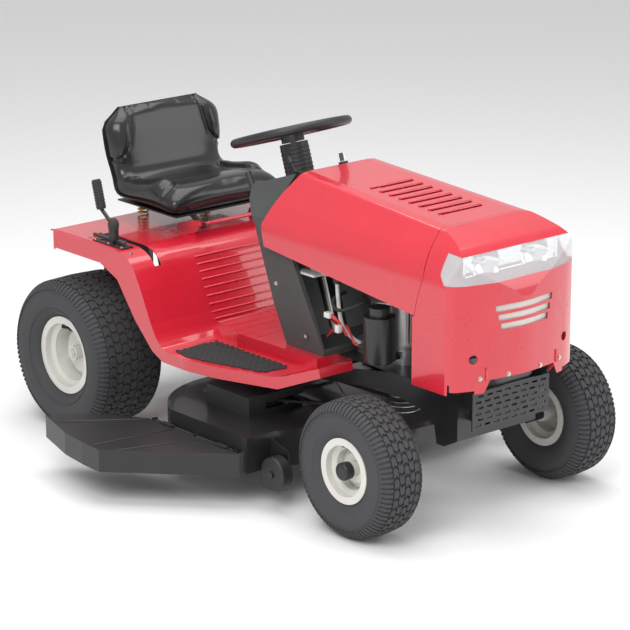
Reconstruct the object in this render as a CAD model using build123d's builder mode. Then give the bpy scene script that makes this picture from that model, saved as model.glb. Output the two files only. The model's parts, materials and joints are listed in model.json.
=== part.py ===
from build123d import *
import os
from math import atan2, cos, degrees, hypot, pi, radians, sin

os.makedirs("parts", exist_ok=True)

# Riding lawn mower. Everything is drawn from the rear axle: +X forward, +Y to the left, +Z up,
# the ground at z = 0. Right and left pieces are made by one function that takes side = -1 or +1.

# ---- clearances -------------------------------------------------------------
RUN = 0.05  # radial clearance of a shaft that turns in its bore
LAY = 0.3  # gap between faces of pieces that move past each other
RIGHT = -1
LEFT = 1
SIDES = {"right": RIGHT, "left": LEFT}

# ---- wheels -----------------------------------------------------------------
WHEELBASE = 1251.0
REAR_TYRE_RADIUS = 228.5
REAR_TYRE_WIDTH = 241.0
REAR_TRACK_HALF = 368.0
REAR_RIM_WIDTH = 179.0
REAR_FLANGE_RADIUS = 119.0
REAR_SEAT_RADIUS = 101.6
REAR_AXLE_RADIUS = 9.5
FRONT_TYRE_RADIUS = 190.5
FRONT_TYRE_WIDTH = 152.0
FRONT_TRACK_HALF = 375.0
FRONT_RIM_WIDTH = 120.0
FRONT_FLANGE_RADIUS = 93.0
FRONT_SEAT_RADIUS = 76.2
TYRE_WALL = 10.0
RIM_WALL = 3.5
HUB_RADIUS = 22.0

# ---- frame ------------------------------------------------------------------
RAIL_HALF = 150.0  # outer faces of the two side rails
RAIL_SHEET = 3.0
RAIL_DEPTH = 40.0
RAIL_TOP_REAR = 332.0
RAIL_TOP_FRONT = 382.0
FRAME_REAR = -200.0
FRAME_FRONT = 1398.0
HITCH_HOLE_X = -180.0
HITCH_HOLE_RADIUS = 8.0
HITCH_Z = 288.0
HITCH_SHEET = 6.0
SEAT_DECK_Z = 600.0
FLOOR_Z = 342.0
TUNNEL_Z = 384.0
FENDER_WALL = 3.0
FENDER_HALF = 430.0

# ---- steering ---------------------------------------------------------------
STEER_TILT = 19.0
STEER_HUB_X = 520.0
STEER_HUB_Z = 941.0
STEER_RIM_RADIUS = 168.0
STEER_GRIP_RADIUS = 13.0
STEER_SHAFT_RADIUS = 9.5
COLUMN_RADIUS = 45.0
PINION_DROP = 630.0  # along the column, from the steering wheel to the pinion's middle
GEAR_MODULE = 2.5
PINION_TEETH = 12
SECTOR_TEETH = 48
KINGPIN_HALF = 270.0
KINGPIN_RADIUS = 9.5
STEER_ARM = 60.0
ARM_BOTTOM_Z = 206.0
ARM_SHEET = 6.0
ARM_PIN_RADIUS = 5.0
LINK_END_RADIUS = 10.0
LINK_END_HEIGHT = 8.0
LINK_ROD_RADIUS = 5.0
AXLE_PIVOT_Z = 236.0
AXLE_PIVOT_RADIUS = 10.0

# ---- engine and belts -------------------------------------------------------
ENGINE_X = 1010.0
ENGINE_BASE_Z = RAIL_TOP_FRONT + RAIL_SHEET
CRANK_RADIUS = 12.7
DRIVE_BELT_Z = 252.0
DECK_BELT_Z = 228.0
DRIVE_PULLEY_RADIUS = 35.0
DECK_PULLEY_RADIUS = 50.0
TRANSAXLE_PULLEY_X = 40.0
TRANSAXLE_PULLEY_RADIUS = 70.0
INPUT_SHAFT_RADIUS = 8.0
BELT_WIDTH = 12.0
BELT_HEIGHT = 8.0
PULLEY_HEIGHT = 18.0

# ---- mower deck -------------------------------------------------------------
DECK_X = 670.0
BLADE_HALF_SPACING = 265.0
DECK_Y = 33.0  # the deck's middle is left of the machine's
BLADE_RADIUS = 258.0
BLADE_SHAFT_RADIUS = 10.0
BLADE_PULLEY_RADIUS = 60.0
DECK_LOBE_RADIUS = 280.0
DECK_BOTTOM_Z = 100.0
DECK_TOP_Z = 205.0
DECK_WALL = 3.0
CHUTE_HINGE_Y = -495.0
CHUTE_HINGE_Z = 158.0
CHUTE_FRONT_X = 890.0
CHUTE_REAR_X = 473.0
CHUTE_PIN_RADIUS = 4.0
GAUGE_RADIUS = 50.0
GAUGE_X = 960.0
GAUGE_HALF = 460.0
GAUGE_Z = 104.0

# ---- body -------------------------------------------------------------------
HOOD_WALL = 3.0
HOOD_PIVOT_X = 1456.0
HOOD_PIVOT_Z = 420.0
HOOD_PIN_RADIUS = 6.0
HOOD_EAR_Y = 122.0
NOSE_X = 1507.0
GRILLE_HALF = 235.0
SEAT_PIVOT_X = 262.0
SEAT_PIVOT_Z = 632.0
SEAT_PIN_RADIUS = 6.0
SEAT_HALF = 222.0
LIFT_PIVOT_X = 190.0
LIFT_PIVOT_Z = 312.0
LIFT_SHAFT_RADIUS = 10.0
LIFT_ARM = 93.0
LIFT_ARM_REST = 15.6  # degrees above level with the mower deck raised
LIFT_LEVER_Y = -340.0
SHIFT_LEVER_Y = -392.0
SHIFT_PIVOT_X = 172.0
SHIFT_PIVOT_Z = 540.0
PEDAL_PIVOT_X = 840.0
PEDAL_PIVOT_Z = 316.0

CHUTE_OUTER_Y = -781.0
DECK_LEFT_Y = DECK_Y + BLADE_HALF_SPACING + DECK_LOBE_RADIUS
ORIGIN = Location(
    (
        -(NOSE_X - REAR_TYRE_RADIUS) / 2,
        -(CHUTE_OUTER_Y + DECK_LEFT_Y) / 2,
        0,
    )
)


def finish(piece, name):
    """Move a finished piece to the part's origin, label it and write its STEP file."""
    piece = piece.moved(ORIGIN)
    piece.label = name
    export_step(piece, f"parts/{name}.step")


def side_prism(points, y_low, y_high, mode=Mode.ADD):
    """Extrude an outline drawn in side view, as (x, z) points, from y_low to y_high."""
    with BuildSketch(Plane.XZ.offset(-y_high)) as outline:
        with BuildLine():
            Polyline(*points, close=True)
        make_face()
    extrude(outline.sketch, amount=y_high - y_low, mode=mode)


def plan_prism(points, z_low, z_high, mode=Mode.ADD):
    """Extrude an outline drawn from above, as (x, y) points, from z_low to z_high."""
    with BuildSketch(Plane.XY.offset(z_low)) as outline:
        with BuildLine():
            Polyline(*points, close=True)
        make_face()
    extrude(outline.sketch, amount=z_high - z_low, mode=mode)


def front_prism(points, x_low, x_high, mode=Mode.ADD):
    """Extrude an outline drawn in front view, as (y, z) points, from x_low to x_high."""
    with BuildSketch(Plane.YZ.offset(x_low)) as outline:
        with BuildLine():
            Polyline(*points, close=True)
        make_face()
    extrude(outline.sketch, amount=x_high - x_low, mode=mode)


def block(low, high, mode=Mode.ADD):
    """Add a box between two opposite corners."""
    size = [high[i] - low[i] for i in range(3)]
    middle = [(high[i] + low[i]) / 2 for i in range(3)]
    with Locations(tuple(middle)):
        Box(*size, mode=mode)


def rod(start, end, radius, mode=Mode.ADD):
    """Add a round bar from one point to another."""
    run = Vector(*end) - Vector(*start)
    with BuildSketch(Plane(origin=start, z_dir=run)) as section:
        Circle(radius)
    extrude(section.sketch, amount=run.length, mode=mode)


def tube(start, end, outer, inner):
    """Add a round tube from one point to another."""
    rod(start, end, outer)
    rod(start, end, inner, mode=Mode.SUBTRACT)


def both(points):
    """Complete a half outline, given from front to back at positive y, with its mirror image."""
    return points + [(a, -b) for a, b in reversed(points) if b]


def arch(points):
    """Complete a half front view, given at positive y, with its mirror image."""
    return points + [(-a, b) for a, b in reversed(points) if a]


def rounded_outline(sketch, points, rounds):
    """Close an outline in a sketch and round each corner that rounds gives a radius for."""
    with BuildLine(Plane.XY) as outline:
        Polyline(*points, close=True)
    make_face(outline.edges())
    for corner, radius in rounds.items():
        fillet(sketch.vertices().sort_by_distance(corner)[0], radius)


# Steering column: a point at a drop below the wheel, a distance ahead of the column and a y.
COLUMN_DOWN = Vector(sin(radians(STEER_TILT)), 0, -cos(radians(STEER_TILT)))
COLUMN_AHEAD = Vector(cos(radians(STEER_TILT)), 0, sin(radians(STEER_TILT)))


def on_column(drop, ahead=0.0, y=0.0):
    """Return the point at a drop along the steering column and a distance ahead of its axis."""
    point = Vector(STEER_HUB_X, y, STEER_HUB_Z) + COLUMN_DOWN * drop + COLUMN_AHEAD * ahead
    return (point.X, point.Y, point.Z)


def column_plane(drop, ahead=0.0):
    """Return a plane square to the column, x ahead and y to the right, that faces down it."""
    return Plane(origin=on_column(drop, ahead), x_dir=COLUMN_AHEAD, z_dir=COLUMN_DOWN)


# =============================================================================
# Wheels
# =============================================================================
def wheel_plane(x, side, track_half, radius):
    """Return the plane through a wheel's axis: local x outward, local y up."""
    return Plane(origin=(x, side * track_half, radius), x_dir=(0, side, 0), z_dir=(side, 0, 0))


def make_tyre(name, x, side, track_half, radius, width, rim_width, flange, seat):
    """Make one hollow tyre with a crowned tread and bulging side walls."""
    half = width / 2
    bead = rim_width / 2 - RIM_WALL - LAY
    middle = (radius + flange) / 2
    with BuildPart() as piece:
        with BuildSketch(wheel_plane(x, side, track_half, radius)) as section:
            with BuildLine():
                Line((0, radius), (half - 32, radius - 3))
                ThreePointArc((half - 32, radius - 3), (half - 16, radius - 9), (half - 6, radius - 26))
                ThreePointArc((half - 6, radius - 26), (half, middle), (bead, flange + 2))
                Polyline(
                    (bead, flange + 2),
                    (bead, seat + LAY),
                    (bead - 14, seat + LAY),
                    (bead - 14, flange + 4),
                )
                ThreePointArc(
                    (bead - 14, flange + 4), (half - TYRE_WALL - 2, middle + 4), (half - 28, radius - 26)
                )
                Line((half - 28, radius - 26), (0, radius - 18))
                Line((0, radius - 18), (0, radius))
            make_face()
            mirror(about=Plane.YZ)
        revolve(axis=Axis((x, side * track_half, radius), (0, 1, 0)))
    finish(piece.part, name)


def make_rim(name, x, side, track_half, radius, width, flange, seat, bore, disc, hub_in, hub_out):
    """Make one pressed-steel rim: barrel with flanges, dished disc and hub tube."""
    half = width / 2
    drop = seat - 14
    with BuildPart() as piece:
        with BuildSketch(wheel_plane(x, side, track_half, radius)):
            with BuildLine():
                Polyline(
                    (-half, flange),
                    (-half + RIM_WALL, flange),
                    (-half + RIM_WALL, seat),
                    (-half + 22, seat),
                    (-half + 30, drop),
                    (half - 30, drop),
                    (half - 22, seat),
                    (half - RIM_WALL, seat),
                    (half - RIM_WALL, flange),
                    (half, flange),
                    (half, seat - RIM_WALL),
                    (half - 20, seat - RIM_WALL),
                    (half - 28, drop - RIM_WALL),
                    (-half + 28, drop - RIM_WALL),
                    (-half + 20, seat - RIM_WALL),
                    (-half, seat - RIM_WALL),
                    close=True,
                )
            make_face()
            with BuildLine():
                Polyline(
                    (disc - 14, drop - 1),
                    (disc - 10, drop - 1),
                    (disc + 4, drop - 22),
                    (disc + 4, HUB_RADIUS - 1),
                    (disc, HUB_RADIUS - 1),
                    (disc, drop - 20),
                    close=True,
                )
            make_face()
            with BuildLine():
                Polyline(
                    (hub_in, bore), (hub_out, bore), (hub_out, HUB_RADIUS), (hub_in, HUB_RADIUS), close=True
                )
            make_face()
        revolve(axis=Axis((x, side * track_half, radius), (0, 1, 0)))
    finish(piece.part, name)


REAR_HUB_IN = -100.0
REAR_HUB_OUT = 60.0
FRONT_HUB_IN = -56.0
FRONT_HUB_OUT = 62.0
for side_name, side in SIDES.items():
    make_tyre(
        f"rear_tyre_{side_name}",
        0,
        side,
        REAR_TRACK_HALF,
        REAR_TYRE_RADIUS,
        REAR_TYRE_WIDTH,
        REAR_RIM_WIDTH,
        REAR_FLANGE_RADIUS,
        REAR_SEAT_RADIUS,
    )
    make_rim(
        f"rear_rim_{side_name}",
        0,
        side,
        REAR_TRACK_HALF,
        REAR_TYRE_RADIUS,
        REAR_RIM_WIDTH,
        REAR_FLANGE_RADIUS,
        REAR_SEAT_RADIUS,
        REAR_AXLE_RADIUS + RUN,
        24,
        REAR_HUB_IN,
        REAR_HUB_OUT,
    )
    make_tyre(
        f"front_tyre_{side_name}",
        WHEELBASE,
        side,
        FRONT_TRACK_HALF,
        FRONT_TYRE_RADIUS,
        FRONT_TYRE_WIDTH,
        FRONT_RIM_WIDTH,
        FRONT_FLANGE_RADIUS,
        FRONT_SEAT_RADIUS,
    )
    make_rim(
        f"front_rim_{side_name}",
        WHEELBASE,
        side,
        FRONT_TRACK_HALF,
        FRONT_TYRE_RADIUS,
        FRONT_RIM_WIDTH,
        FRONT_FLANGE_RADIUS,
        FRONT_SEAT_RADIUS,
        KINGPIN_RADIUS + RUN,
        16,
        FRONT_HUB_IN,
        FRONT_HUB_OUT,
    )

# Rear axle shafts run from inside the transaxle to just past the hubs.
AXLE_INNER_Y = 60.0
CLIP_THICKNESS = 4.0
for side_name, side in SIDES.items():
    hub_end = REAR_TRACK_HALF + REAR_HUB_OUT
    with BuildPart() as axle_shaft:
        rod(
            (0, side * AXLE_INNER_Y, REAR_TYRE_RADIUS),
            (0, side * (hub_end + 6), REAR_TYRE_RADIUS),
            REAR_AXLE_RADIUS,
        )
        rod(
            (0, side * (hub_end + LAY), REAR_TYRE_RADIUS),
            (0, side * (hub_end + LAY + CLIP_THICKNESS), REAR_TYRE_RADIUS),
            REAR_AXLE_RADIUS + 6,
        )
    finish(axle_shaft.part, f"rear_axle_shaft_{side_name}")

# =============================================================================
# Front axle and steering linkage
# =============================================================================
BEAM_HALF_THICK = 19.0
SLEEVE_RADIUS = 19.0
SLEEVE_BOTTOM_Z = ARM_BOTTOM_Z + ARM_SHEET + 3
SLEEVE_TOP_Z = 272.0
with BuildPart() as front_axle_beam:
    front_prism(
        [
            (-KINGPIN_HALF, SLEEVE_TOP_Z - 6),
            (-60, AXLE_PIVOT_Z + 22),
            (60, AXLE_PIVOT_Z + 22),
            (KINGPIN_HALF, SLEEVE_TOP_Z - 6),
            (KINGPIN_HALF, SLEEVE_BOTTOM_Z + 8),
            (60, AXLE_PIVOT_Z - 22),
            (-60, AXLE_PIVOT_Z - 22),
            (-KINGPIN_HALF, SLEEVE_BOTTOM_Z + 8),
        ],
        WHEELBASE - BEAM_HALF_THICK,
        WHEELBASE + BEAM_HALF_THICK,
    )
    for side in SIDES.values():
        rod(
            (WHEELBASE, side * KINGPIN_HALF, SLEEVE_BOTTOM_Z),
            (WHEELBASE, side * KINGPIN_HALF, SLEEVE_TOP_Z),
            SLEEVE_RADIUS,
        )
        rod(
            (WHEELBASE, side * KINGPIN_HALF, SLEEVE_BOTTOM_Z - 1),
            (WHEELBASE, side * KINGPIN_HALF, SLEEVE_TOP_Z + 1),
            KINGPIN_RADIUS + RUN,
            mode=Mode.SUBTRACT,
        )
    rod(
        (WHEELBASE - BEAM_HALF_THICK - 1, 0, AXLE_PIVOT_Z),
        (WHEELBASE + BEAM_HALF_THICK + 1, 0, AXLE_PIVOT_Z),
        AXLE_PIVOT_RADIUS + RUN,
        mode=Mode.SUBTRACT,
    )
finish(front_axle_beam.part, "front_axle_beam")

ARM_PIN_X = WHEELBASE - STEER_ARM
TIE_ROD_Z = ARM_BOTTOM_Z + ARM_SHEET + LAY
DRAG_LINK_Z = TIE_ROD_Z + LINK_END_HEIGHT + LAY
for side_name, side in SIDES.items():
    wheel_inner = FRONT_TRACK_HALF + FRONT_HUB_IN
    wheel_outer = FRONT_TRACK_HALF + FRONT_HUB_OUT
    with BuildPart() as spindle:
        rod(
            (WHEELBASE, side * KINGPIN_HALF, FRONT_TYRE_RADIUS),
            (WHEELBASE, side * KINGPIN_HALF, SLEEVE_TOP_Z + 8),
            KINGPIN_RADIUS,
        )
        rod(
            (WHEELBASE, side * (KINGPIN_HALF - 12), FRONT_TYRE_RADIUS),
            (WHEELBASE, side * (wheel_inner - LAY), FRONT_TYRE_RADIUS),
            KINGPIN_RADIUS + 5,
        )
        rod(
            (WHEELBASE, side * KINGPIN_HALF, FRONT_TYRE_RADIUS),
            (WHEELBASE, side * (wheel_outer + 6), FRONT_TYRE_RADIUS),
            KINGPIN_RADIUS,
        )
        rod(
            (WHEELBASE, side * (wheel_outer + LAY), FRONT_TYRE_RADIUS),
            (WHEELBASE, side * (wheel_outer + LAY + CLIP_THICKNESS), FRONT_TYRE_RADIUS),
            KINGPIN_RADIUS + 6,
        )
        rod(
            (WHEELBASE, side * KINGPIN_HALF, SLEEVE_TOP_Z + LAY),
            (WHEELBASE, side * KINGPIN_HALF, SLEEVE_TOP_Z + LAY + CLIP_THICKNESS),
            KINGPIN_RADIUS + 5,
        )
        rod(
            (WHEELBASE, side * KINGPIN_HALF, FRONT_TYRE_RADIUS),
            (WHEELBASE, side * KINGPIN_HALF, SLEEVE_BOTTOM_Z - LAY),
            KINGPIN_RADIUS + 5,
        )
        block(
            (ARM_PIN_X, side * KINGPIN_HALF - LINK_END_RADIUS, ARM_BOTTOM_Z),
            (WHEELBASE, side * KINGPIN_HALF + LINK_END_RADIUS, ARM_BOTTOM_Z + ARM_SHEET),
        )
        rod(
            (ARM_PIN_X, side * KINGPIN_HALF, ARM_BOTTOM_Z),
            (ARM_PIN_X, side * KINGPIN_HALF, ARM_BOTTOM_Z + ARM_SHEET),
            LINK_END_RADIUS,
        )
        rod(
            (ARM_PIN_X, side * KINGPIN_HALF, ARM_BOTTOM_Z),
            (ARM_PIN_X, side * KINGPIN_HALF, DRAG_LINK_Z + LINK_END_HEIGHT + 4),
            ARM_PIN_RADIUS,
        )
    finish(spindle.part, f"front_spindle_{side_name}")

with BuildPart() as tie_rod:
    rod(
        (ARM_PIN_X, -KINGPIN_HALF, TIE_ROD_Z + LINK_END_HEIGHT / 2),
        (ARM_PIN_X, KINGPIN_HALF, TIE_ROD_Z + LINK_END_HEIGHT / 2),
        LINK_END_HEIGHT / 2 - 0.2,
    )
    for side in SIDES.values():
        rod(
            (ARM_PIN_X, side * KINGPIN_HALF, TIE_ROD_Z),
            (ARM_PIN_X, side * KINGPIN_HALF, TIE_ROD_Z + LINK_END_HEIGHT),
            LINK_END_RADIUS,
        )
    for side in SIDES.values():
        rod(
            (ARM_PIN_X, side * KINGPIN_HALF, TIE_ROD_Z - 1),
            (ARM_PIN_X, side * KINGPIN_HALF, TIE_ROD_Z + LINK_END_HEIGHT + 1),
            ARM_PIN_RADIUS + 2 * RUN,
            mode=Mode.SUBTRACT,
        )
finish(tie_rod.part, "tie_rod")

# The sector turns about a pin parallel to the column, and its teeth face that pin from ahead of
# the pinion, so it turns the same way as the steering wheel.
PINION_PITCH = GEAR_MODULE * PINION_TEETH / 2
SECTOR_PITCH = GEAR_MODULE * SECTOR_TEETH / 2
SECTOR_BACK = -(SECTOR_PITCH - PINION_PITCH)
SECTOR_SHEET = 8.0
SECTOR_PIN_RADIUS = 8.0
SECTOR_SWEEP = 50.0  # degrees of teeth each side of the middle
SECTOR_WINDOW = 57.0  # degrees of the window each side of the middle, for the pinion at full lock
SECTOR_SPOKE = 72.0  # degrees to the outer edge of the spokes beside the window
SECTOR_RING = 12.0  # metal ahead of the teeth
SECTOR_HUB = 20.0
STEER_PLATE_DROP = PINION_DROP - 30
SECTOR_TOP_DROP = PINION_DROP - SECTOR_SHEET / 2
SECTOR_LOW_DROP = PINION_DROP + SECTOR_SHEET / 2
LINK_DROP = 7.0  # room between the sector's arm and the link's loose rear eye
LINK_REAR = on_column(SECTOR_LOW_DROP + LINK_DROP + LINK_END_HEIGHT / 2, SECTOR_BACK - STEER_ARM)


def gear_outline(teeth, tip, root, start, count, tip_half=0.11, root_half=0.30):
    """Return the outline of a run of teeth as (radius, angle in degrees) pairs."""
    pitch = 360 / teeth
    points = []
    for index in range(count):
        middle = start + index * pitch
        points.append((root, middle - pitch * root_half))
        points.append((tip, middle - pitch * tip_half))
        points.append((tip, middle + pitch * tip_half))
        points.append((root, middle + pitch * root_half))
    return points


def polar(radius, angle):
    """Return the point at a radius and an angle in degrees."""
    return (radius * cos(radians(angle)), radius * sin(radians(angle)))


TOOTH_TIP = 2.0
TOOTH_ROOT = 2.6
with BuildPart() as steering_sector:
    with BuildSketch(column_plane(SECTOR_TOP_DROP, SECTOR_BACK)):
        sector_pitch_angle = 360 / SECTOR_TEETH
        sector_count = 2 * int(SECTOR_SWEEP / sector_pitch_angle) + 1
        first_tooth = -(sector_count - 1) / 2 * sector_pitch_angle
        window = gear_outline(
            SECTOR_TEETH,
            SECTOR_PITCH + TOOTH_ROOT,
            SECTOR_PITCH - TOOTH_TIP,
            first_tooth,
            sector_count,
            tip_half=0.20,
            root_half=0.39,
        )
        edges = [polar(SECTOR_PITCH - TOOTH_TIP, side * SECTOR_WINDOW) for side in (-1, 1)]
        with BuildLine():
            CenterArc((0, 0), SECTOR_PITCH + SECTOR_RING, -SECTOR_SPOKE, 2 * SECTOR_SPOKE)
            Polyline(
                polar(SECTOR_PITCH + SECTOR_RING, SECTOR_SPOKE),
                (0, 0),
                polar(SECTOR_PITCH + SECTOR_RING, -SECTOR_SPOKE),
            )
        make_face()
        with BuildLine():
            Polyline((0, 0), edges[0], *[polar(*point) for point in window], edges[1], close=True)
        make_face(mode=Mode.SUBTRACT)
        Circle(SECTOR_HUB)
        with Locations((-STEER_ARM / 2, 0)):
            Rectangle(STEER_ARM, 20)
        with Locations((-STEER_ARM, 0)):
            Circle(LINK_END_RADIUS + 2)
        Circle(SECTOR_PIN_RADIUS + RUN, mode=Mode.SUBTRACT)
    extrude(amount=SECTOR_SHEET)
    rod(
        on_column(SECTOR_TOP_DROP, SECTOR_BACK - STEER_ARM),
        on_column(SECTOR_LOW_DROP + LINK_DROP + LINK_END_HEIGHT + 6, SECTOR_BACK - STEER_ARM),
        ARM_PIN_RADIUS,
    )
finish(steering_sector.part, "steering_sector")

LINK_BORE_SLACK = 7.0  # the rear eye rises and shifts on its pin as the front axle swings
with BuildPart() as drag_link:
    front_pin = (ARM_PIN_X, -KINGPIN_HALF, DRAG_LINK_Z + LINK_END_HEIGHT / 2)
    rod(front_pin, LINK_REAR, LINK_ROD_RADIUS - 1.2)
    rod(
        (ARM_PIN_X, -KINGPIN_HALF, DRAG_LINK_Z),
        (ARM_PIN_X, -KINGPIN_HALF, DRAG_LINK_Z + LINK_END_HEIGHT),
        LINK_END_RADIUS,
    )
    rod(
        on_column(SECTOR_LOW_DROP + LINK_DROP, SECTOR_BACK - STEER_ARM),
        on_column(SECTOR_LOW_DROP + LINK_DROP + LINK_END_HEIGHT, SECTOR_BACK - STEER_ARM),
        ARM_PIN_RADIUS + LINK_BORE_SLACK + 4,
    )
    rod(
        (ARM_PIN_X, -KINGPIN_HALF, DRAG_LINK_Z - 1),
        (ARM_PIN_X, -KINGPIN_HALF, DRAG_LINK_Z + LINK_END_HEIGHT + 1),
        ARM_PIN_RADIUS + RUN,
        mode=Mode.SUBTRACT,
    )
    rod(
        on_column(SECTOR_LOW_DROP, SECTOR_BACK - STEER_ARM),
        on_column(SECTOR_LOW_DROP + LINK_DROP + 20, SECTOR_BACK - STEER_ARM),
        ARM_PIN_RADIUS + LINK_BORE_SLACK,
        mode=Mode.SUBTRACT,
    )
finish(drag_link.part, "drag_link")

PINION_HEIGHT = 18.0
with BuildPart() as steering_shaft:
    rod(on_column(10), on_column(PINION_DROP + PINION_HEIGHT / 2), STEER_SHAFT_RADIUS)
    with BuildSketch(column_plane(PINION_DROP - PINION_HEIGHT / 2)):
        # A tooth of the pinion points ahead, into the sector's middle gap.
        pinion = gear_outline(
            PINION_TEETH,
            PINION_PITCH + TOOTH_TIP,
            PINION_PITCH - TOOTH_ROOT,
            0,
            PINION_TEETH,
        )
        with BuildLine():
            Polyline(*[polar(*point) for point in pinion], close=True)
        make_face()
    extrude(amount=PINION_HEIGHT)
finish(steering_shaft.part, "steering_shaft")

HUB_TOP_DROP = -8.0
HUB_LOW_DROP = 30.0
SPOKE_ANGLES = (0, 115, 245)  # degrees from straight ahead
with BuildPart() as steering_wheel:
    with BuildSketch(Plane(origin=on_column(0), x_dir=COLUMN_AHEAD, z_dir=(0, 1, 0))):
        with Locations((STEER_RIM_RADIUS, 0)):
            Circle(STEER_GRIP_RADIUS)
    revolve(axis=Axis(on_column(0), tuple(COLUMN_DOWN)))
    rod(on_column(HUB_TOP_DROP), on_column(HUB_LOW_DROP), 34)
    for angle in SPOKE_ANGLES:
        outward = COLUMN_AHEAD * cos(radians(angle)) + Vector(0, sin(radians(angle)), 0)
        spoke_plane = Plane(origin=on_column(HUB_TOP_DROP + 10), x_dir=outward, z_dir=COLUMN_DOWN)
        with BuildSketch(spoke_plane):
            with Locations((STEER_RIM_RADIUS / 2, 0)):
                Rectangle(STEER_RIM_RADIUS, 34)
        extrude(amount=9)
    rod(on_column(10), on_column(HUB_LOW_DROP + 1), STEER_SHAFT_RADIUS + RUN, mode=Mode.SUBTRACT)
finish(steering_wheel.part, "steering_wheel")

# =============================================================================
# Frame, transaxle and steering supports
# =============================================================================
def rail_outline():
    """Return the side view of a frame rail, with the hook ahead of the front axle."""
    return [
        (FRAME_REAR, RAIL_TOP_REAR),
        (835, RAIL_TOP_REAR),
        (1114, RAIL_TOP_FRONT),
        (FRAME_FRONT, RAIL_TOP_FRONT),
        (FRAME_FRONT, 250),
        (1345, 223),
        (1315, 223),
        (1300, 300),
        (1150, 320),
        (1090, 325),
        (835, RAIL_TOP_REAR - RAIL_DEPTH),
        (60, RAIL_TOP_REAR - RAIL_DEPTH),
        (FRAME_REAR, RAIL_TOP_REAR - RAIL_DEPTH),
    ]


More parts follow.
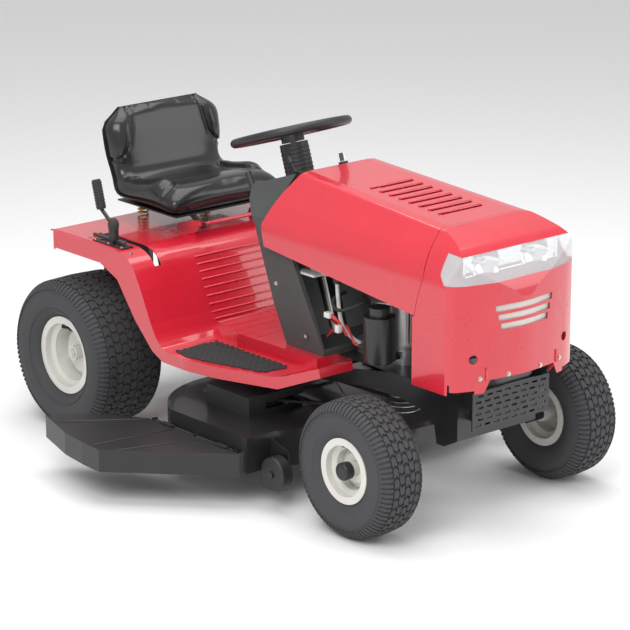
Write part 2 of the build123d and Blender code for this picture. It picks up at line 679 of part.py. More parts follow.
RAIL_INNER = RAIL_HALF - RAIL_SHEET
ENGINE_PLATE_REAR = 903.0
TRANSAXLE_TOP_Z = 290.0
AXLE_PLATE_GAP = BEAM_HALF_THICK + LAY
AXLE_PLATE_SHEET = 6.0
with BuildPart() as frame:
    for side in SIDES.values():
        low, high = sorted((side * RAIL_INNER, side * RAIL_HALF))
        side_prism(rail_outline(), low, high)
        # Uprights that carry the seat deck.
        side_prism(
            [
                (-50, RAIL_TOP_REAR - 4),
                (50, RAIL_TOP_REAR - 4),
                (36, SEAT_DECK_Z - FENDER_WALL),
                (-36, SEAT_DECK_Z - FENDER_WALL),
            ],
            low,
            high,
        )
    # Engine plate, with a hole for the crankshaft, and the plate ahead of it.
    block((ENGINE_PLATE_REAR, -RAIL_HALF, RAIL_TOP_FRONT), (1190, RAIL_HALF, ENGINE_BASE_Z))
    rod((ENGINE_X, 0, RAIL_TOP_FRONT - 1), (ENGINE_X, 0, ENGINE_BASE_Z + 1), 40, mode=Mode.SUBTRACT)
    block((1190, -RAIL_HALF, RAIL_TOP_FRONT), (FRAME_FRONT, RAIL_HALF, ENGINE_BASE_Z))
    for bolt_x in (ENGINE_X - 70, ENGINE_X + 70):
        for bolt_y in (-70, 70):
            rod(
                (bolt_x, bolt_y, RAIL_TOP_FRONT - 1),
                (bolt_x, bolt_y, ENGINE_BASE_Z + 1),
                4.2,
                mode=Mode.SUBTRACT,
            )
    # Front cross plate.
    block((FRAME_FRONT - RAIL_SHEET, -RAIL_HALF, 250), (FRAME_FRONT, RAIL_HALF, ENGINE_BASE_Z))
    # Axle pivot: two hanging plates and the pin between them.
    for end in (-1, 1):
        low, high = sorted(
            (
                WHEELBASE + end * AXLE_PLATE_GAP,
                WHEELBASE + end * (AXLE_PLATE_GAP + AXLE_PLATE_SHEET),
            )
        )
        front_prism(
            [(-60, RAIL_TOP_FRONT), (60, RAIL_TOP_FRONT), (40, AXLE_PIVOT_Z - 20), (-40, AXLE_PIVOT_Z - 20)],
            low,
            high,
        )
    rod(
        (WHEELBASE - AXLE_PLATE_GAP - AXLE_PLATE_SHEET - 4, 0, AXLE_PIVOT_Z),
        (WHEELBASE + AXLE_PLATE_GAP + AXLE_PLATE_SHEET + 4, 0, AXLE_PIVOT_Z),
        AXLE_PIVOT_RADIUS,
    )
    # Hood pivot: two ears on a plate across the frame's front, each with its pin.
    for side in SIDES.values():
        low, high = sorted((side * HOOD_EAR_Y, side * (HOOD_EAR_Y + 6)))
        side_prism(
            [
                (FRAME_FRONT - 1, 340),
                (FRAME_FRONT - 1, 384),
                (HOOD_PIVOT_X - 14, HOOD_PIVOT_Z + 10),
                (HOOD_PIVOT_X + 10, HOOD_PIVOT_Z + 10),
                (HOOD_PIVOT_X + 10, HOOD_PIVOT_Z - 10),
                (HOOD_PIVOT_X - 10, HOOD_PIVOT_Z - 16),
                (1430, 340),
            ],
            low,
            high,
        )
        rod(
            (HOOD_PIVOT_X, side * HOOD_EAR_Y, HOOD_PIVOT_Z),
            (HOOD_PIVOT_X, side * (HOOD_EAR_Y + 18), HOOD_PIVOT_Z),
            HOOD_PIN_RADIUS,
        )
    block((FRAME_FRONT - 1, -HOOD_EAR_Y - 6, 340), (FRAME_FRONT + 4, HOOD_EAR_Y + 6, 384))
    # Hitch plate behind the transaxle.
    block((FRAME_REAR, -RAIL_HALF, HITCH_Z), (-120, RAIL_HALF, HITCH_Z + HITCH_SHEET))
    rod(
        (HITCH_HOLE_X, 0, HITCH_Z - 1),
        (HITCH_HOLE_X, 0, HITCH_Z + HITCH_SHEET + 1),
        HITCH_HOLE_RADIUS,
        mode=Mode.SUBTRACT,
    )
    # Transaxle cross plate with a hole for its input shaft and pulley.
    block((-34, -RAIL_HALF, RAIL_TOP_REAR - RAIL_DEPTH), (34, RAIL_HALF, RAIL_TOP_REAR - RAIL_DEPTH + 3))
    # Steering plate square to the column, with the sector's pin and the shaft's bearing.
    with BuildSketch(column_plane(STEER_PLATE_DROP)):
        with Locations((SECTOR_BACK / 2 - 4, 0)):
            Rectangle(36 - SECTOR_BACK, 2 * RAIL_INNER)
        Circle(STEER_SHAFT_RADIUS + RUN, mode=Mode.SUBTRACT)
    extrude(amount=5)
    rod(
        on_column(STEER_PLATE_DROP + 2, SECTOR_BACK),
        on_column(SECTOR_LOW_DROP + 6, SECTOR_BACK),
        SECTOR_PIN_RADIUS,
    )
    rod(
        on_column(SECTOR_LOW_DROP + LAY, SECTOR_BACK),
        on_column(SECTOR_LOW_DROP + 6, SECTOR_BACK),
        SECTOR_PIN_RADIUS + 5,
    )
    # Gussets that carry the steering plate on the rails.
    for side in SIDES.values():
        low, high = sorted((side * (RAIL_INNER - 1), side * RAIL_HALF))
        plate_rear = on_column(STEER_PLATE_DROP, SECTOR_BACK - 22)
        plate_front = on_column(STEER_PLATE_DROP, 14)
        side_prism(
            [
                (plate_rear[0] - 30, RAIL_TOP_REAR - 5),
                (plate_front[0] + 30, RAIL_TOP_REAR - 5),
                (plate_front[0], plate_front[2]),
                (plate_rear[0], plate_rear[2]),
            ],
            low,
            high,
        )
    # Bores for the lift shaft and the pedal shaft.
    for pivot_x, pivot_z, radius in (
        (LIFT_PIVOT_X, LIFT_PIVOT_Z, LIFT_SHAFT_RADIUS),
        (PEDAL_PIVOT_X, PEDAL_PIVOT_Z, 8.0),
    ):
        rod(
            (pivot_x, -RAIL_HALF - 1, pivot_z),
            (pivot_x, RAIL_HALF + 1, pivot_z),
            radius + RUN,
            mode=Mode.SUBTRACT,
        )
finish(frame.part, "frame")

CASE_HALF = 90.0
with BuildPart() as transaxle:
    block((-85, -CASE_HALF, 165), (95, CASE_HALF, TRANSAXLE_TOP_Z - 54))
    chamfer(transaxle.edges().filter_by(Axis.Z), 20)
    block((-55, -70, 200), (65, 70, DRIVE_BELT_Z - PULLEY_HEIGHT / 2 - 6))
    for side in SIDES.values():
        rod(
            (0, side * (CASE_HALF - 10), REAR_TYRE_RADIUS),
            (0, side * 232, REAR_TYRE_RADIUS),
            30,
        )
        # Saddle that hangs the axle horn from the rail.
        block(
            (-34, side * 142 - 8, REAR_TYRE_RADIUS),
            (34, side * 142 + 8, RAIL_TOP_REAR - RAIL_DEPTH),
        )
    for side in SIDES.values():
        rod(
            (0, side * (AXLE_INNER_Y - 2), REAR_TYRE_RADIUS),
            (0, side * 240, REAR_TYRE_RADIUS),
            REAR_AXLE_RADIUS + RUN,
            mode=Mode.SUBTRACT,
        )
    rod(
        (TRANSAXLE_PULLEY_X, 0, 205),
        (TRANSAXLE_PULLEY_X, 0, DRIVE_BELT_Z),
        INPUT_SHAFT_RADIUS + RUN,
        mode=Mode.SUBTRACT,
    )
finish(transaxle.part, "transaxle")


def pulley(x, y, belt_z, radius):
    """Add a V pulley whose groove is centred on a belt's height."""
    half = PULLEY_HEIGHT / 2
    groove = BELT_HEIGHT / 2
    with BuildSketch(Plane(origin=(x, y, belt_z), x_dir=(1, 0, 0), z_dir=(0, -1, 0))) as section:
        with BuildLine():
            Polyline(
                (0, -half),
                (radius + 3, -half),
                (radius + 3, -half + 2),
                (radius - BELT_WIDTH, -groove),
                (radius - BELT_WIDTH, groove),
                (radius + 3, half - 2),
                (radius + 3, half),
                (0, half),
                close=True,
            )
        make_face()
    revolve(section.sketch, axis=Axis((x, y, 0), (0, 0, 1)))


with BuildPart() as engine_pulley:
    pulley(ENGINE_X, 0, DRIVE_BELT_Z, DRIVE_PULLEY_RADIUS)
    pulley(ENGINE_X, 0, DECK_BELT_Z, DECK_PULLEY_RADIUS)
    rod((ENGINE_X, 0, 205), (ENGINE_X, 0, 460), CRANK_RADIUS)
finish(engine_pulley.part, "engine_pulley")

with BuildPart() as transaxle_pulley:
    pulley(TRANSAXLE_PULLEY_X, 0, DRIVE_BELT_Z, TRANSAXLE_PULLEY_RADIUS)
    rod((TRANSAXLE_PULLEY_X, 0, 208), (TRANSAXLE_PULLEY_X, 0, 276), INPUT_SHAFT_RADIUS)
finish(transaxle_pulley.part, "transaxle_pulley")


def belt(points, belt_z):
    """Add a belt round pulleys given as (x, y, radius), as the hull of its circles."""
    for inset, mode in ((0, Mode.ADD), (BELT_WIDTH - 1, Mode.SUBTRACT)):
        with BuildSketch(Plane.XY.offset(belt_z - BELT_HEIGHT / 2 + LAY)) as loop:
            for x, y, radius in points:
                with Locations((x, y)):
                    Circle(radius - inset)
            make_hull()
        extrude(loop.sketch, amount=BELT_HEIGHT - 2 * LAY, mode=mode)


with BuildPart() as drive_belt:
    belt([(ENGINE_X, 0, DRIVE_PULLEY_RADIUS), (TRANSAXLE_PULLEY_X, 0, TRANSAXLE_PULLEY_RADIUS)], DRIVE_BELT_Z)
finish(drive_belt.part, "drive_belt")

# =============================================================================
# Engine
# =============================================================================
BLOCK_TOP_Z = 560.0
with BuildPart() as engine_block:
    block((ENGINE_X - 105, -95, ENGINE_BASE_Z), (ENGINE_X + 105, 95, ENGINE_BASE_Z + 40))
    fillet(engine_block.edges().filter_by(Axis.Z), 30)
    rod((ENGINE_X, 0, ENGINE_BASE_Z + 38), (ENGINE_X, 0, BLOCK_TOP_Z), 92)
    for fin in range(7):
        fin_x = ENGINE_X + 84 + fin * 13
        block((fin_x, -62, ENGINE_BASE_Z + 60), (fin_x + 6, 62, BLOCK_TOP_Z - 12))
    block((ENGINE_X + 60, -46, ENGINE_BASE_Z + 74), (ENGINE_X + 176, 46, BLOCK_TOP_Z - 26))
    block((ENGINE_X + 174, -62, ENGINE_BASE_Z + 60), (ENGINE_X + 188, 62, BLOCK_TOP_Z - 12))
    rod((ENGINE_X, 0, ENGINE_BASE_Z - 1), (ENGINE_X, 0, 466), CRANK_RADIUS + RUN, mode=Mode.SUBTRACT)
    for bolt_x in (ENGINE_X - 70, ENGINE_X + 70):
        for bolt_y in (-70, 70):
            rod(
                (bolt_x, bolt_y, ENGINE_BASE_Z - 1),
                (bolt_x, bolt_y, ENGINE_BASE_Z + 20),
                4.2,
                mode=Mode.SUBTRACT,
            )
finish(engine_block.part, "engine_block")

BLOWER_TOP_Z = 690.0
with BuildPart() as blower_housing:
    rod((ENGINE_X, 0, BLOCK_TOP_Z), (ENGINE_X, 0, BLOWER_TOP_Z - 40), 118)
    block((ENGINE_X, -70, BLOCK_TOP_Z), (ENGINE_X + 190, 70, BLOCK_TOP_Z + 52))
    rod((ENGINE_X, 0, BLOWER_TOP_Z - 42), (ENGINE_X, 0, BLOWER_TOP_Z), 84)
    rod((ENGINE_X, 0, BLOWER_TOP_Z - 12), (ENGINE_X, 0, BLOWER_TOP_Z + 1), 70, mode=Mode.SUBTRACT)
    for spoke in range(8):
        with Locations(Location((ENGINE_X, 0, BLOWER_TOP_Z - 8), (0, 0, 1), spoke * 22.5)):
            Box(142, 5, 6)
finish(blower_housing.part, "blower_housing")

MUFFLER_X = 1268.0
MUFFLER_Z = 470.0
with BuildPart() as muffler:
    rod((MUFFLER_X, -105, MUFFLER_Z), (MUFFLER_X, 105, MUFFLER_Z), 46)
    rod((MUFFLER_X, 60, MUFFLER_Z), (MUFFLER_X + 10, 60, ENGINE_BASE_Z + 12), 14)
    block((MUFFLER_X - 60, -20, ENGINE_BASE_Z), (MUFFLER_X + 40, 20, ENGINE_BASE_Z + 5))
    block((MUFFLER_X - 10, -20, ENGINE_BASE_Z), (MUFFLER_X + 10, 20, MUFFLER_Z - 30))
    rod((ENGINE_X + 188, 0, 495), (MUFFLER_X - 10, 0, 495), 15)
finish(muffler.part, "muffler")

STARTER_X = 1084.0
STARTER_Y = -156.0
STARTER_RADIUS = 45.0
STARTER_BOTTOM_Z = 412.0
STARTER_TOP_Z = 540.0
with BuildPart() as starter_motor:
    rod((STARTER_X, STARTER_Y, STARTER_BOTTOM_Z), (STARTER_X, STARTER_Y, STARTER_TOP_Z), STARTER_RADIUS)
    rod((STARTER_X, STARTER_Y, STARTER_TOP_Z - 1), (STARTER_X, STARTER_Y, STARTER_TOP_Z + 26), 30)
    rod((STARTER_X, STARTER_Y, STARTER_BOTTOM_Z - 6), (STARTER_X, STARTER_Y, STARTER_BOTTOM_Z + 1), 38)
    block(
        (STARTER_X - 34, STARTER_Y + 30, STARTER_BOTTOM_Z - 6),
        (STARTER_X + 20, -95, STARTER_BOTTOM_Z + 4),
    )
    rod(
        (STARTER_X - 30, STARTER_Y - 20, STARTER_BOTTOM_Z + 30),
        (STARTER_X - 62, STARTER_Y - 20, STARTER_BOTTOM_Z + 30),
        5,
    )
finish(starter_motor.part, "starter_motor")

# The starter's lead runs from its terminal back and up to the fuse holder on the pedestal.
CABLE_RADIUS = 3.0
CABLE_POINTS = [
    (STARTER_X - 62, STARTER_Y - 20, STARTER_BOTTOM_Z + 30),
    (STARTER_X - 84, STARTER_Y - 20, STARTER_BOTTOM_Z + 30),
    (STARTER_X - 108, STARTER_Y - 12, STARTER_BOTTOM_Z + 50),
    (STARTER_X - 136, STARTER_Y + 2, STARTER_BOTTOM_Z + 66),
    (STARTER_X - 166, STARTER_Y + 6, STARTER_BOTTOM_Z + 62),
    (STARTER_X - 192, STARTER_Y - 4, STARTER_BOTTOM_Z + 44),
    (STARTER_X - 214, STARTER_Y - 8, STARTER_BOTTOM_Z + 20),
]


def bend_radii(points):
    """Return, for each corner of a route, the largest arc that its two runs allow."""
    radii = []
    for before, corner, after in zip(points, points[1:], points[2:]):
        arriving = Vector(*corner) - Vector(*before)
        leaving = Vector(*after) - Vector(*corner)
        turn = radians(arriving.get_angle(leaving))
        radii.append(0.45 * min(arriving.length, leaving.length) / (sin(turn / 2) / cos(turn / 2)))
    return radii


cable_radii = bend_radii(CABLE_POINTS)
print("starter cable radii", [round(radius, 1) for radius in cable_radii])
with BuildPart() as starter_cable:
    with BuildLine() as route:
        FilletPolyline(*CABLE_POINTS, radius=cable_radii)
    with BuildSketch(Plane(origin=CABLE_POINTS[0], z_dir=(-1, 0, 0))):
        Circle(CABLE_RADIUS)
    sweep(path=route.line)
finish(starter_cable.part, "starter_cable")

PEDESTAL_HALF = 210.0
DASH_WALL = 3.0
with BuildPart() as fuel_tank:
    block((790, -170, 605), (876, 170, 735))
    fillet(fuel_tank.edges(), 18)
    rod((834, 60, 730), (834, 60, 762), 34)
    # Two straps carry the tank on the pedestal's side walls, behind the walls' front lips.
    for side in SIDES.values():
        low, high = sorted((side * 140, side * (PEDESTAL_HALF - DASH_WALL)))
        block((762, low, 606), (785.5, high, 612))
        low, high = sorted((side * 140, side * 195.5))
        block((762, low, 606), (850, high, 612))
finish(fuel_tank.part, "fuel_tank")

# =============================================================================
# Mower deck
# =============================================================================
BLADE_Y = {"right": DECK_Y - BLADE_HALF_SPACING, "left": DECK_Y + BLADE_HALF_SPACING}
DECK_REAR_X = DECK_X - DECK_LOBE_RADIUS
DECK_FRONT_X = DECK_X + DECK_LOBE_RADIUS
CHUTE_OPEN = ((500, 850), (DECK_BOTTOM_Z - 1, DECK_TOP_Z - 25))
HANGER_X = LIFT_PIVOT_X + LIFT_ARM * cos(radians(LIFT_ARM_REST))
HANGER_Z = LIFT_PIVOT_Z + LIFT_ARM * sin(radians(LIFT_ARM_REST))
HANGER_Y = 118.0
HANGER_SHEET = 5.0
HANGER_SLACK = 0.6


DECK_CORNER = 232.0  # the square front corner beside the chute, ahead of the blade axes


def deck_outline(inset):
    """Add the deck's plan, two blade lobes joined by straight front and rear edges."""
    for y in BLADE_Y.values():
        with Locations((DECK_X, y)):
            Circle(DECK_LOBE_RADIUS - inset)
    with Locations((DECK_X, DECK_Y)):
        Rectangle(2 * (DECK_LOBE_RADIUS - inset), 2 * BLADE_HALF_SPACING)
    with Locations((DECK_X + 100, BLADE_Y["right"] - 93)):
        Rectangle(2 * (DECK_CORNER - 100 - inset), 340 - 2 * inset)


GAUGE_AXLE_RADIUS = 5.0
with BuildPart() as deck_shell:
    with BuildSketch(Plane.XY.offset(DECK_BOTTOM_Z)) as deck_plan:
        deck_outline(0)
    extrude(deck_plan.sketch, amount=DECK_TOP_Z - DECK_BOTTOM_Z)
    block((DECK_REAR_X - 50, -700, 0), (DECK_FRONT_X + 50, CHUTE_HINGE_Y + 7, 400), mode=Mode.SUBTRACT)
    with BuildSketch(Plane.XY.offset(DECK_BOTTOM_Z - 1)) as deck_hollow:
        deck_outline(DECK_WALL)
    hollow = extrude(deck_hollow.sketch, amount=DECK_TOP_Z - DECK_BOTTOM_Z - DECK_WALL + 1, mode=Mode.PRIVATE)
    keep_wall = Pos(DECK_X, -900, 150) * Box(
        2000, 2 * (900 + CHUTE_HINGE_Y + 7 + DECK_WALL), 600, mode=Mode.PRIVATE
    )
    add(hollow - keep_wall, mode=Mode.SUBTRACT)
    block(
        (CHUTE_OPEN[0][0], CHUTE_HINGE_Y - 20, CHUTE_OPEN[1][0]),
        (CHUTE_OPEN[0][1], CHUTE_HINGE_Y + 20, CHUTE_OPEN[1][1] - 35),
        mode=Mode.SUBTRACT,
    )
    for y in BLADE_Y.values():
        rod((DECK_X, y, DECK_TOP_Z - 10), (DECK_X, y, DECK_TOP_Z + 1), 26, mode=Mode.SUBTRACT)
    # Chute hinge ears and rod.
    for ear_x in (CHUTE_REAR_X + 15, (CHUTE_REAR_X + CHUTE_FRONT_X) / 2 - 4, CHUTE_FRONT_X - 35):
        block(
            (ear_x, CHUTE_HINGE_Y - 6, CHUTE_HINGE_Z - 6), (ear_x + 8, CHUTE_HINGE_Y + 8, CHUTE_HINGE_Z + 6)
        )
    rod(
        (CHUTE_REAR_X + 8, CHUTE_HINGE_Y, CHUTE_HINGE_Z),
        (CHUTE_FRONT_X - 20, CHUTE_HINGE_Y, CHUTE_HINGE_Z),
        CHUTE_PIN_RADIUS,
    )
    # Lift hangers with a slot for the lift arm's pin.
    for side in SIDES.values():
        low, high = sorted((side * HANGER_Y, side * (HANGER_Y + HANGER_SHEET)))
        side_prism(
            [
                (HANGER_X - 22, HANGER_Z - 14),
                (HANGER_X - 22, HANGER_Z + 16),
                (HANGER_X + 22, HANGER_Z + 16),
                (HANGER_X + 60, HANGER_Z - 14),
                (DECK_REAR_X + 60, DECK_TOP_Z - 1),
                (DECK_REAR_X + 4, DECK_TOP_Z - 1),
                (HANGER_X + 24, HANGER_Z - 40),
            ],
            low,
            high,
        )
        block(
            (HANGER_X - 12, low - 1, HANGER_Z - 6 - HANGER_SLACK),
            (HANGER_X + 14, high + 1, HANGER_Z + 6 + HANGER_SLACK),
            mode=Mode.SUBTRACT,
        )
    # Gauge wheel brackets on the front corners.
    for side in SIDES.values():
        low, high = sorted((DECK_Y + side * (GAUGE_HALF - 30), DECK_Y + side * (GAUGE_HALF - 26)))
        side_prism(
            [
                (GAUGE_X - 74, DECK_TOP_Z - 10),
                (GAUGE_X + 20, DECK_TOP_Z - 40),
                (GAUGE_X + 20, GAUGE_Z - 16),
                (GAUGE_X - 16, GAUGE_Z - 16),
                (GAUGE_X - 74, DECK_TOP_Z - 70),
            ],
            low,
            high,
        )
        rod(
            (GAUGE_X, DECK_Y + side * (GAUGE_HALF - 27), GAUGE_Z),
            (GAUGE_X, DECK_Y + side * (GAUGE_HALF + 26), GAUGE_Z),
            GAUGE_AXLE_RADIUS,
        )
        rod(
            (GAUGE_X, DECK_Y + side * (GAUGE_HALF + 20 + LAY), GAUGE_Z),
            (GAUGE_X, DECK_Y + side * (GAUGE_HALF + 26), GAUGE_Z),
            GAUGE_AXLE_RADIUS + 5,
        )
finish(deck_shell.part, "deck_shell")

HOUSING_TOP_Z = DECK_TOP_Z + 12
with BuildPart() as spindle_housings:
    for y in BLADE_Y.values():
        rod((DECK_X, y, DECK_TOP_Z), (DECK_X, y, DECK_TOP_Z + 5), 48)
        tube((DECK_X, y, DECK_TOP_Z - 45), (DECK_X, y, HOUSING_TOP_Z), 25, BLADE_SHAFT_RADIUS + RUN)
    for y in BLADE_Y.values():
        rod(
            (DECK_X, y, DECK_TOP_Z - 46),
            (DECK_X, y, HOUSING_TOP_Z + 1),
            BLADE_SHAFT_RADIUS + RUN,
            mode=Mode.SUBTRACT,
        )
finish(spindle_housings.part, "spindle_housings")

BLADE_Z = 120.0
BLADE_SHEET = 5.0
BLADE_WIDTH = 57.0
COVER_TOP_Z = 262.0
COVER_SHEET = 2.0
for side_name, y in BLADE_Y.items():
    with BuildPart() as blade_shaft:
        pulley(DECK_X, y, DECK_BELT_Z, BLADE_PULLEY_RADIUS)
        rod((DECK_X, y, BLADE_Z - 12), (DECK_X, y, DECK_BELT_Z + 14), BLADE_SHAFT_RADIUS)
        rod((DECK_X, y, BLADE_Z + BLADE_SHEET), (DECK_X, y, BLADE_Z + BLADE_SHEET + 16), 20)
        rod((DECK_X, y, BLADE_Z - 10), (DECK_X, y, BLADE_Z), 16)
    finish(blade_shaft.part, f"blade_shaft_{side_name}")
    with BuildPart() as blade:
        block(
            (DECK_X - BLADE_WIDTH / 2, y - BLADE_RADIUS + 8, BLADE_Z),
            (DECK_X + BLADE_WIDTH / 2, y + BLADE_RADIUS - 8, BLADE_Z + BLADE_SHEET),
        )
        for end in (-1, 1):
            # Lift wing on the trailing edge of each tip.
            side_prism(
                [
                    (DECK_X - end * (BLADE_WIDTH / 2 - 6), BLADE_Z),
                    (DECK_X - end * (BLADE_WIDTH / 2 - 6), BLADE_Z + BLADE_SHEET),
                    (DECK_X - end * (BLADE_WIDTH / 2 + 8), BLADE_Z + 24),
                    (DECK_X - end * (BLADE_WIDTH / 2 + 11), BLADE_Z + 24),
                    (DECK_X - end * (BLADE_WIDTH / 2), BLADE_Z),
                ],
                y + end * (BLADE_RADIUS - 58) - 50,
                y + end * (BLADE_RADIUS - 58) + 50,
            )
        rod(
            (DECK_X, y, BLADE_Z - 1),
            (DECK_X, y, BLADE_Z + BLADE_SHEET + 1),
            BLADE_SHAFT_RADIUS + RUN,
            mode=Mode.SUBTRACT,
        )
    finish(blade.part, f"blade_{side_name}")

with BuildPart() as belt_covers:
    for y in BLADE_Y.values():
        side = 1 if y > 0 else -1
        low, high = sorted((y - side * 65, y + side * 135))
        block((DECK_X - 96, low, DECK_TOP_Z), (DECK_X + 96, high, COVER_TOP_Z))
        block(
            (DECK_X - 96 + COVER_SHEET, low + COVER_SHEET, DECK_TOP_Z - 1),
            (DECK_X + 96 - COVER_SHEET, high - COVER_SHEET, COVER_TOP_Z - COVER_SHEET),
            mode=Mode.SUBTRACT,
        )
        # The belt leaves through the inner half of the cover.
        low, high = sorted((y - side * 75, y + side * (BLADE_PULLEY_RADIUS + 12)))
        block(
            (DECK_X - 110, low, DECK_BELT_Z - 10),
            (DECK_X + 110, high, DECK_BELT_Z + 10),
            mode=Mode.SUBTRACT,
        )
finish(belt_covers.part, "belt_covers")

with BuildPart() as deck_belt:
    belt(
        [
            (ENGINE_X, 0, DECK_PULLEY_RADIUS),
            (DECK_X, BLADE_Y["right"], BLADE_PULLEY_RADIUS),
            (DECK_X, BLADE_Y["left"], BLADE_PULLEY_RADIUS),
        ],
        DECK_BELT_Z,
    )
finish(deck_belt.part, "deck_belt")

for side_name, side in SIDES.items():
    with BuildPart() as gauge_wheel:
        rod(
            (GAUGE_X, DECK_Y + side * (GAUGE_HALF - 20), GAUGE_Z),
            (GAUGE_X, DECK_Y + side * (GAUGE_HALF + 20), GAUGE_Z),
            GAUGE_RADIUS,
        )
        fillet(gauge_wheel.edges().filter_by(GeomType.CIRCLE), 6)
        rod(
            (GAUGE_X, DECK_Y + side * (GAUGE_HALF - 21), GAUGE_Z),
            (GAUGE_X, DECK_Y + side * (GAUGE_HALF + 21), GAUGE_Z),
            GAUGE_AXLE_RADIUS + RUN,
            mode=Mode.SUBTRACT,
        )
    finish(gauge_wheel.part, f"gauge_wheel_{side_name}")

# Chute deflector: a plastic hood hinged on the deck's right side.
CHUTE_SHEET = 4.0
CHUTE_TOP_Z = 160.0
CHUTE_SKIRT_Z = 94.0
CHUTE_GAP_Y = CHUTE_HINGE_Y - 10
CHUTE_PLAN = [
    (CHUTE_FRONT_X, CHUTE_GAP_Y),
    (604, CHUTE_OUTER_Y),
    (520, CHUTE_OUTER_Y + 4),
    (420, -764),
    (260, -716),
    (300, -640),
    (380, -570),
    (CHUTE_REAR_X, CHUTE_GAP_Y),
]
with BuildPart() as chute_deflector:
    plan_prism(CHUTE_PLAN, CHUTE_SKIRT_Z, CHUTE_TOP_Z)
    with BuildSketch(Plane.XY.offset(CHUTE_SKIRT_Z - 1)) as chute_inside:
        with BuildLine():
            Polyline(*CHUTE_PLAN, close=True)
        make_face()
        offset(amount=-CHUTE_SHEET)
    extrude(chute_inside.sketch, amount=CHUTE_TOP_Z - CHUTE_SKIRT_Z - CHUTE_SHEET + 1, mode=Mode.SUBTRACT)
    # The side towards the deck and the rear are open.
    block(
        (CHUTE_REAR_X - 20, CHUTE_GAP_Y - 12, CHUTE_SKIRT_Z - 1),
        (CHUTE_FRONT_X - 22, CHUTE_GAP_Y + 1, CHUTE_TOP_Z - CHUTE_SHEET),
        mode=Mode.SUBTRACT,
    )
    for lug_x in (CHUTE_REAR_X + 60, CHUTE_FRONT_X - 110):
        block((lug_x, CHUTE_GAP_Y - 4, CHUTE_HINGE_Z - 6), (lug_x + 50, CHUTE_HINGE_Y, CHUTE_HINGE_Z + 6))
        rod((lug_x, CHUTE_HINGE_Y, CHUTE_HINGE_Z), (lug_x + 50, CHUTE_HINGE_Y, CHUTE_HINGE_Z), 7)
        rod(
            (lug_x - 1, CHUTE_HINGE_Y, CHUTE_HINGE_Z),
            (lug_x + 51, CHUTE_HINGE_Y, CHUTE_HINGE_Z),
            CHUTE_PIN_RADIUS + RUN,
            mode=Mode.SUBTRACT,
        )
finish(chute_deflector.part, "chute_deflector")

# =============================================================================
# Fender body, foot pads and levers
# =============================================================================
FENDER_TOP = [
    (-104, 560),
    (-98, 588),
    (-80, SEAT_DECK_Z),
    (240, SEAT_DECK_Z),
    (285, 588),
    (315, 562),
    (350, 500),
    (395, 410),
    (420, 370),
    (455, FLOOR_Z),
    (860, FLOOR_Z),
    (960, 380),
    (984, 388),
]
FENDER_EDGE = [
    (990, 362),
    (860, 308),
    (449, 308),
    (400, 330),
    (319, 406),
    (235, 512),
    (153, 545),
    (-70, 545),
    (-96, 530),
]
FENDER_PLAN = [
    (-110, 0),
    (-110, FENDER_HALF - 30),
    (-80, FENDER_HALF),
    (560, FENDER_HALF),
    (660, 412),
    (800, 362),
    (990, 292),
    (990, 0),
]
TUNNEL_FRONT_X = 900.0
TUNNEL_PLAN = [(430, 0), (430, 208), (560, 240), (TUNNEL_FRONT_X, 228), (TUNNEL_FRONT_X, 0)]
PEDAL_Y = 248.0
FENDER_TOP_ROUNDS = {
    (240, SEAT_DECK_Z): 120,
    (285, 588): 70,
    (315, 562): 100,
    (420, 370): 80,
    (455, FLOOR_Z): 40,
    (860, FLOOR_Z): 200,
}
FENDER_PLAN_ROUNDS = {
    (560, FENDER_HALF): 200,
    (560, -FENDER_HALF): 200,
    (660, 412): 300,
    (660, -412): 300,
}
with BuildPart() as fender_body:
    with BuildSketch(Plane.XZ) as fender_side:
        rounded_outline(fender_side, FENDER_TOP + FENDER_EDGE, FENDER_TOP_ROUNDS)
    extrude(fender_side.sketch, amount=FENDER_HALF, both=True)
    with BuildSketch() as fender_plan:
        rounded_outline(fender_plan, both(FENDER_PLAN), FENDER_PLAN_ROUNDS)
    extrude(fender_plan.sketch, amount=900, both=True, mode=Mode.INTERSECT)
    plan_prism(both(TUNNEL_PLAN), FLOOR_Z - 30, TUNNEL_Z)
    with BuildSketch(Plane.XZ) as fender_inside:
        rounded_outline(fender_inside, [*FENDER_TOP, (984, 100), (-104, 100)], FENDER_TOP_ROUNDS)
        offset(amount=-FENDER_WALL)
    inner_profile = extrude(fender_inside.sketch, amount=FENDER_HALF, both=True, mode=Mode.PRIVATE)
    with BuildSketch(Plane.XY.offset(400)) as fender_plan_inside:
        rounded_outline(fender_plan_inside, both(FENDER_PLAN), FENDER_PLAN_ROUNDS)
        offset(amount=-FENDER_WALL)
    inner_plan = extrude(fender_plan_inside.sketch, amount=350, both=True, mode=Mode.PRIVATE)
    add(inner_profile & inner_plan, mode=Mode.SUBTRACT)
    with BuildSketch(Plane.XY.offset(50)) as tunnel_inside:
        with BuildLine():
            Polyline(*both(TUNNEL_PLAN), close=True)
        make_face()
        offset(amount=-FENDER_WALL)
    extrude(tunnel_inside.sketch, amount=TUNNEL_Z - FENDER_WALL - 50, mode=Mode.SUBTRACT)
    # Open ahead of the dash, where the engine plate is.
    block((TUNNEL_FRONT_X, -170, 200), (1000, 170, 500), mode=Mode.SUBTRACT)
    # Steering shaft, lever slots, pedal slot.
    rod(on_column(560), on_column(640), STEER_SHAFT_RADIUS + 12, mode=Mode.SUBTRACT)
    block((60, LIFT_LEVER_Y - 13, 550), (318, LIFT_LEVER_Y + 13, 610), mode=Mode.SUBTRACT)
    block((116, SHIFT_LEVER_Y - 10, 580), (228, SHIFT_LEVER_Y + 10, 610), mode=Mode.SUBTRACT)
    block((770, PEDAL_Y - 16, 300), (884, PEDAL_Y + 16, 350), mode=Mode.SUBTRACT)
finish(fender_body.part, "fender_body")

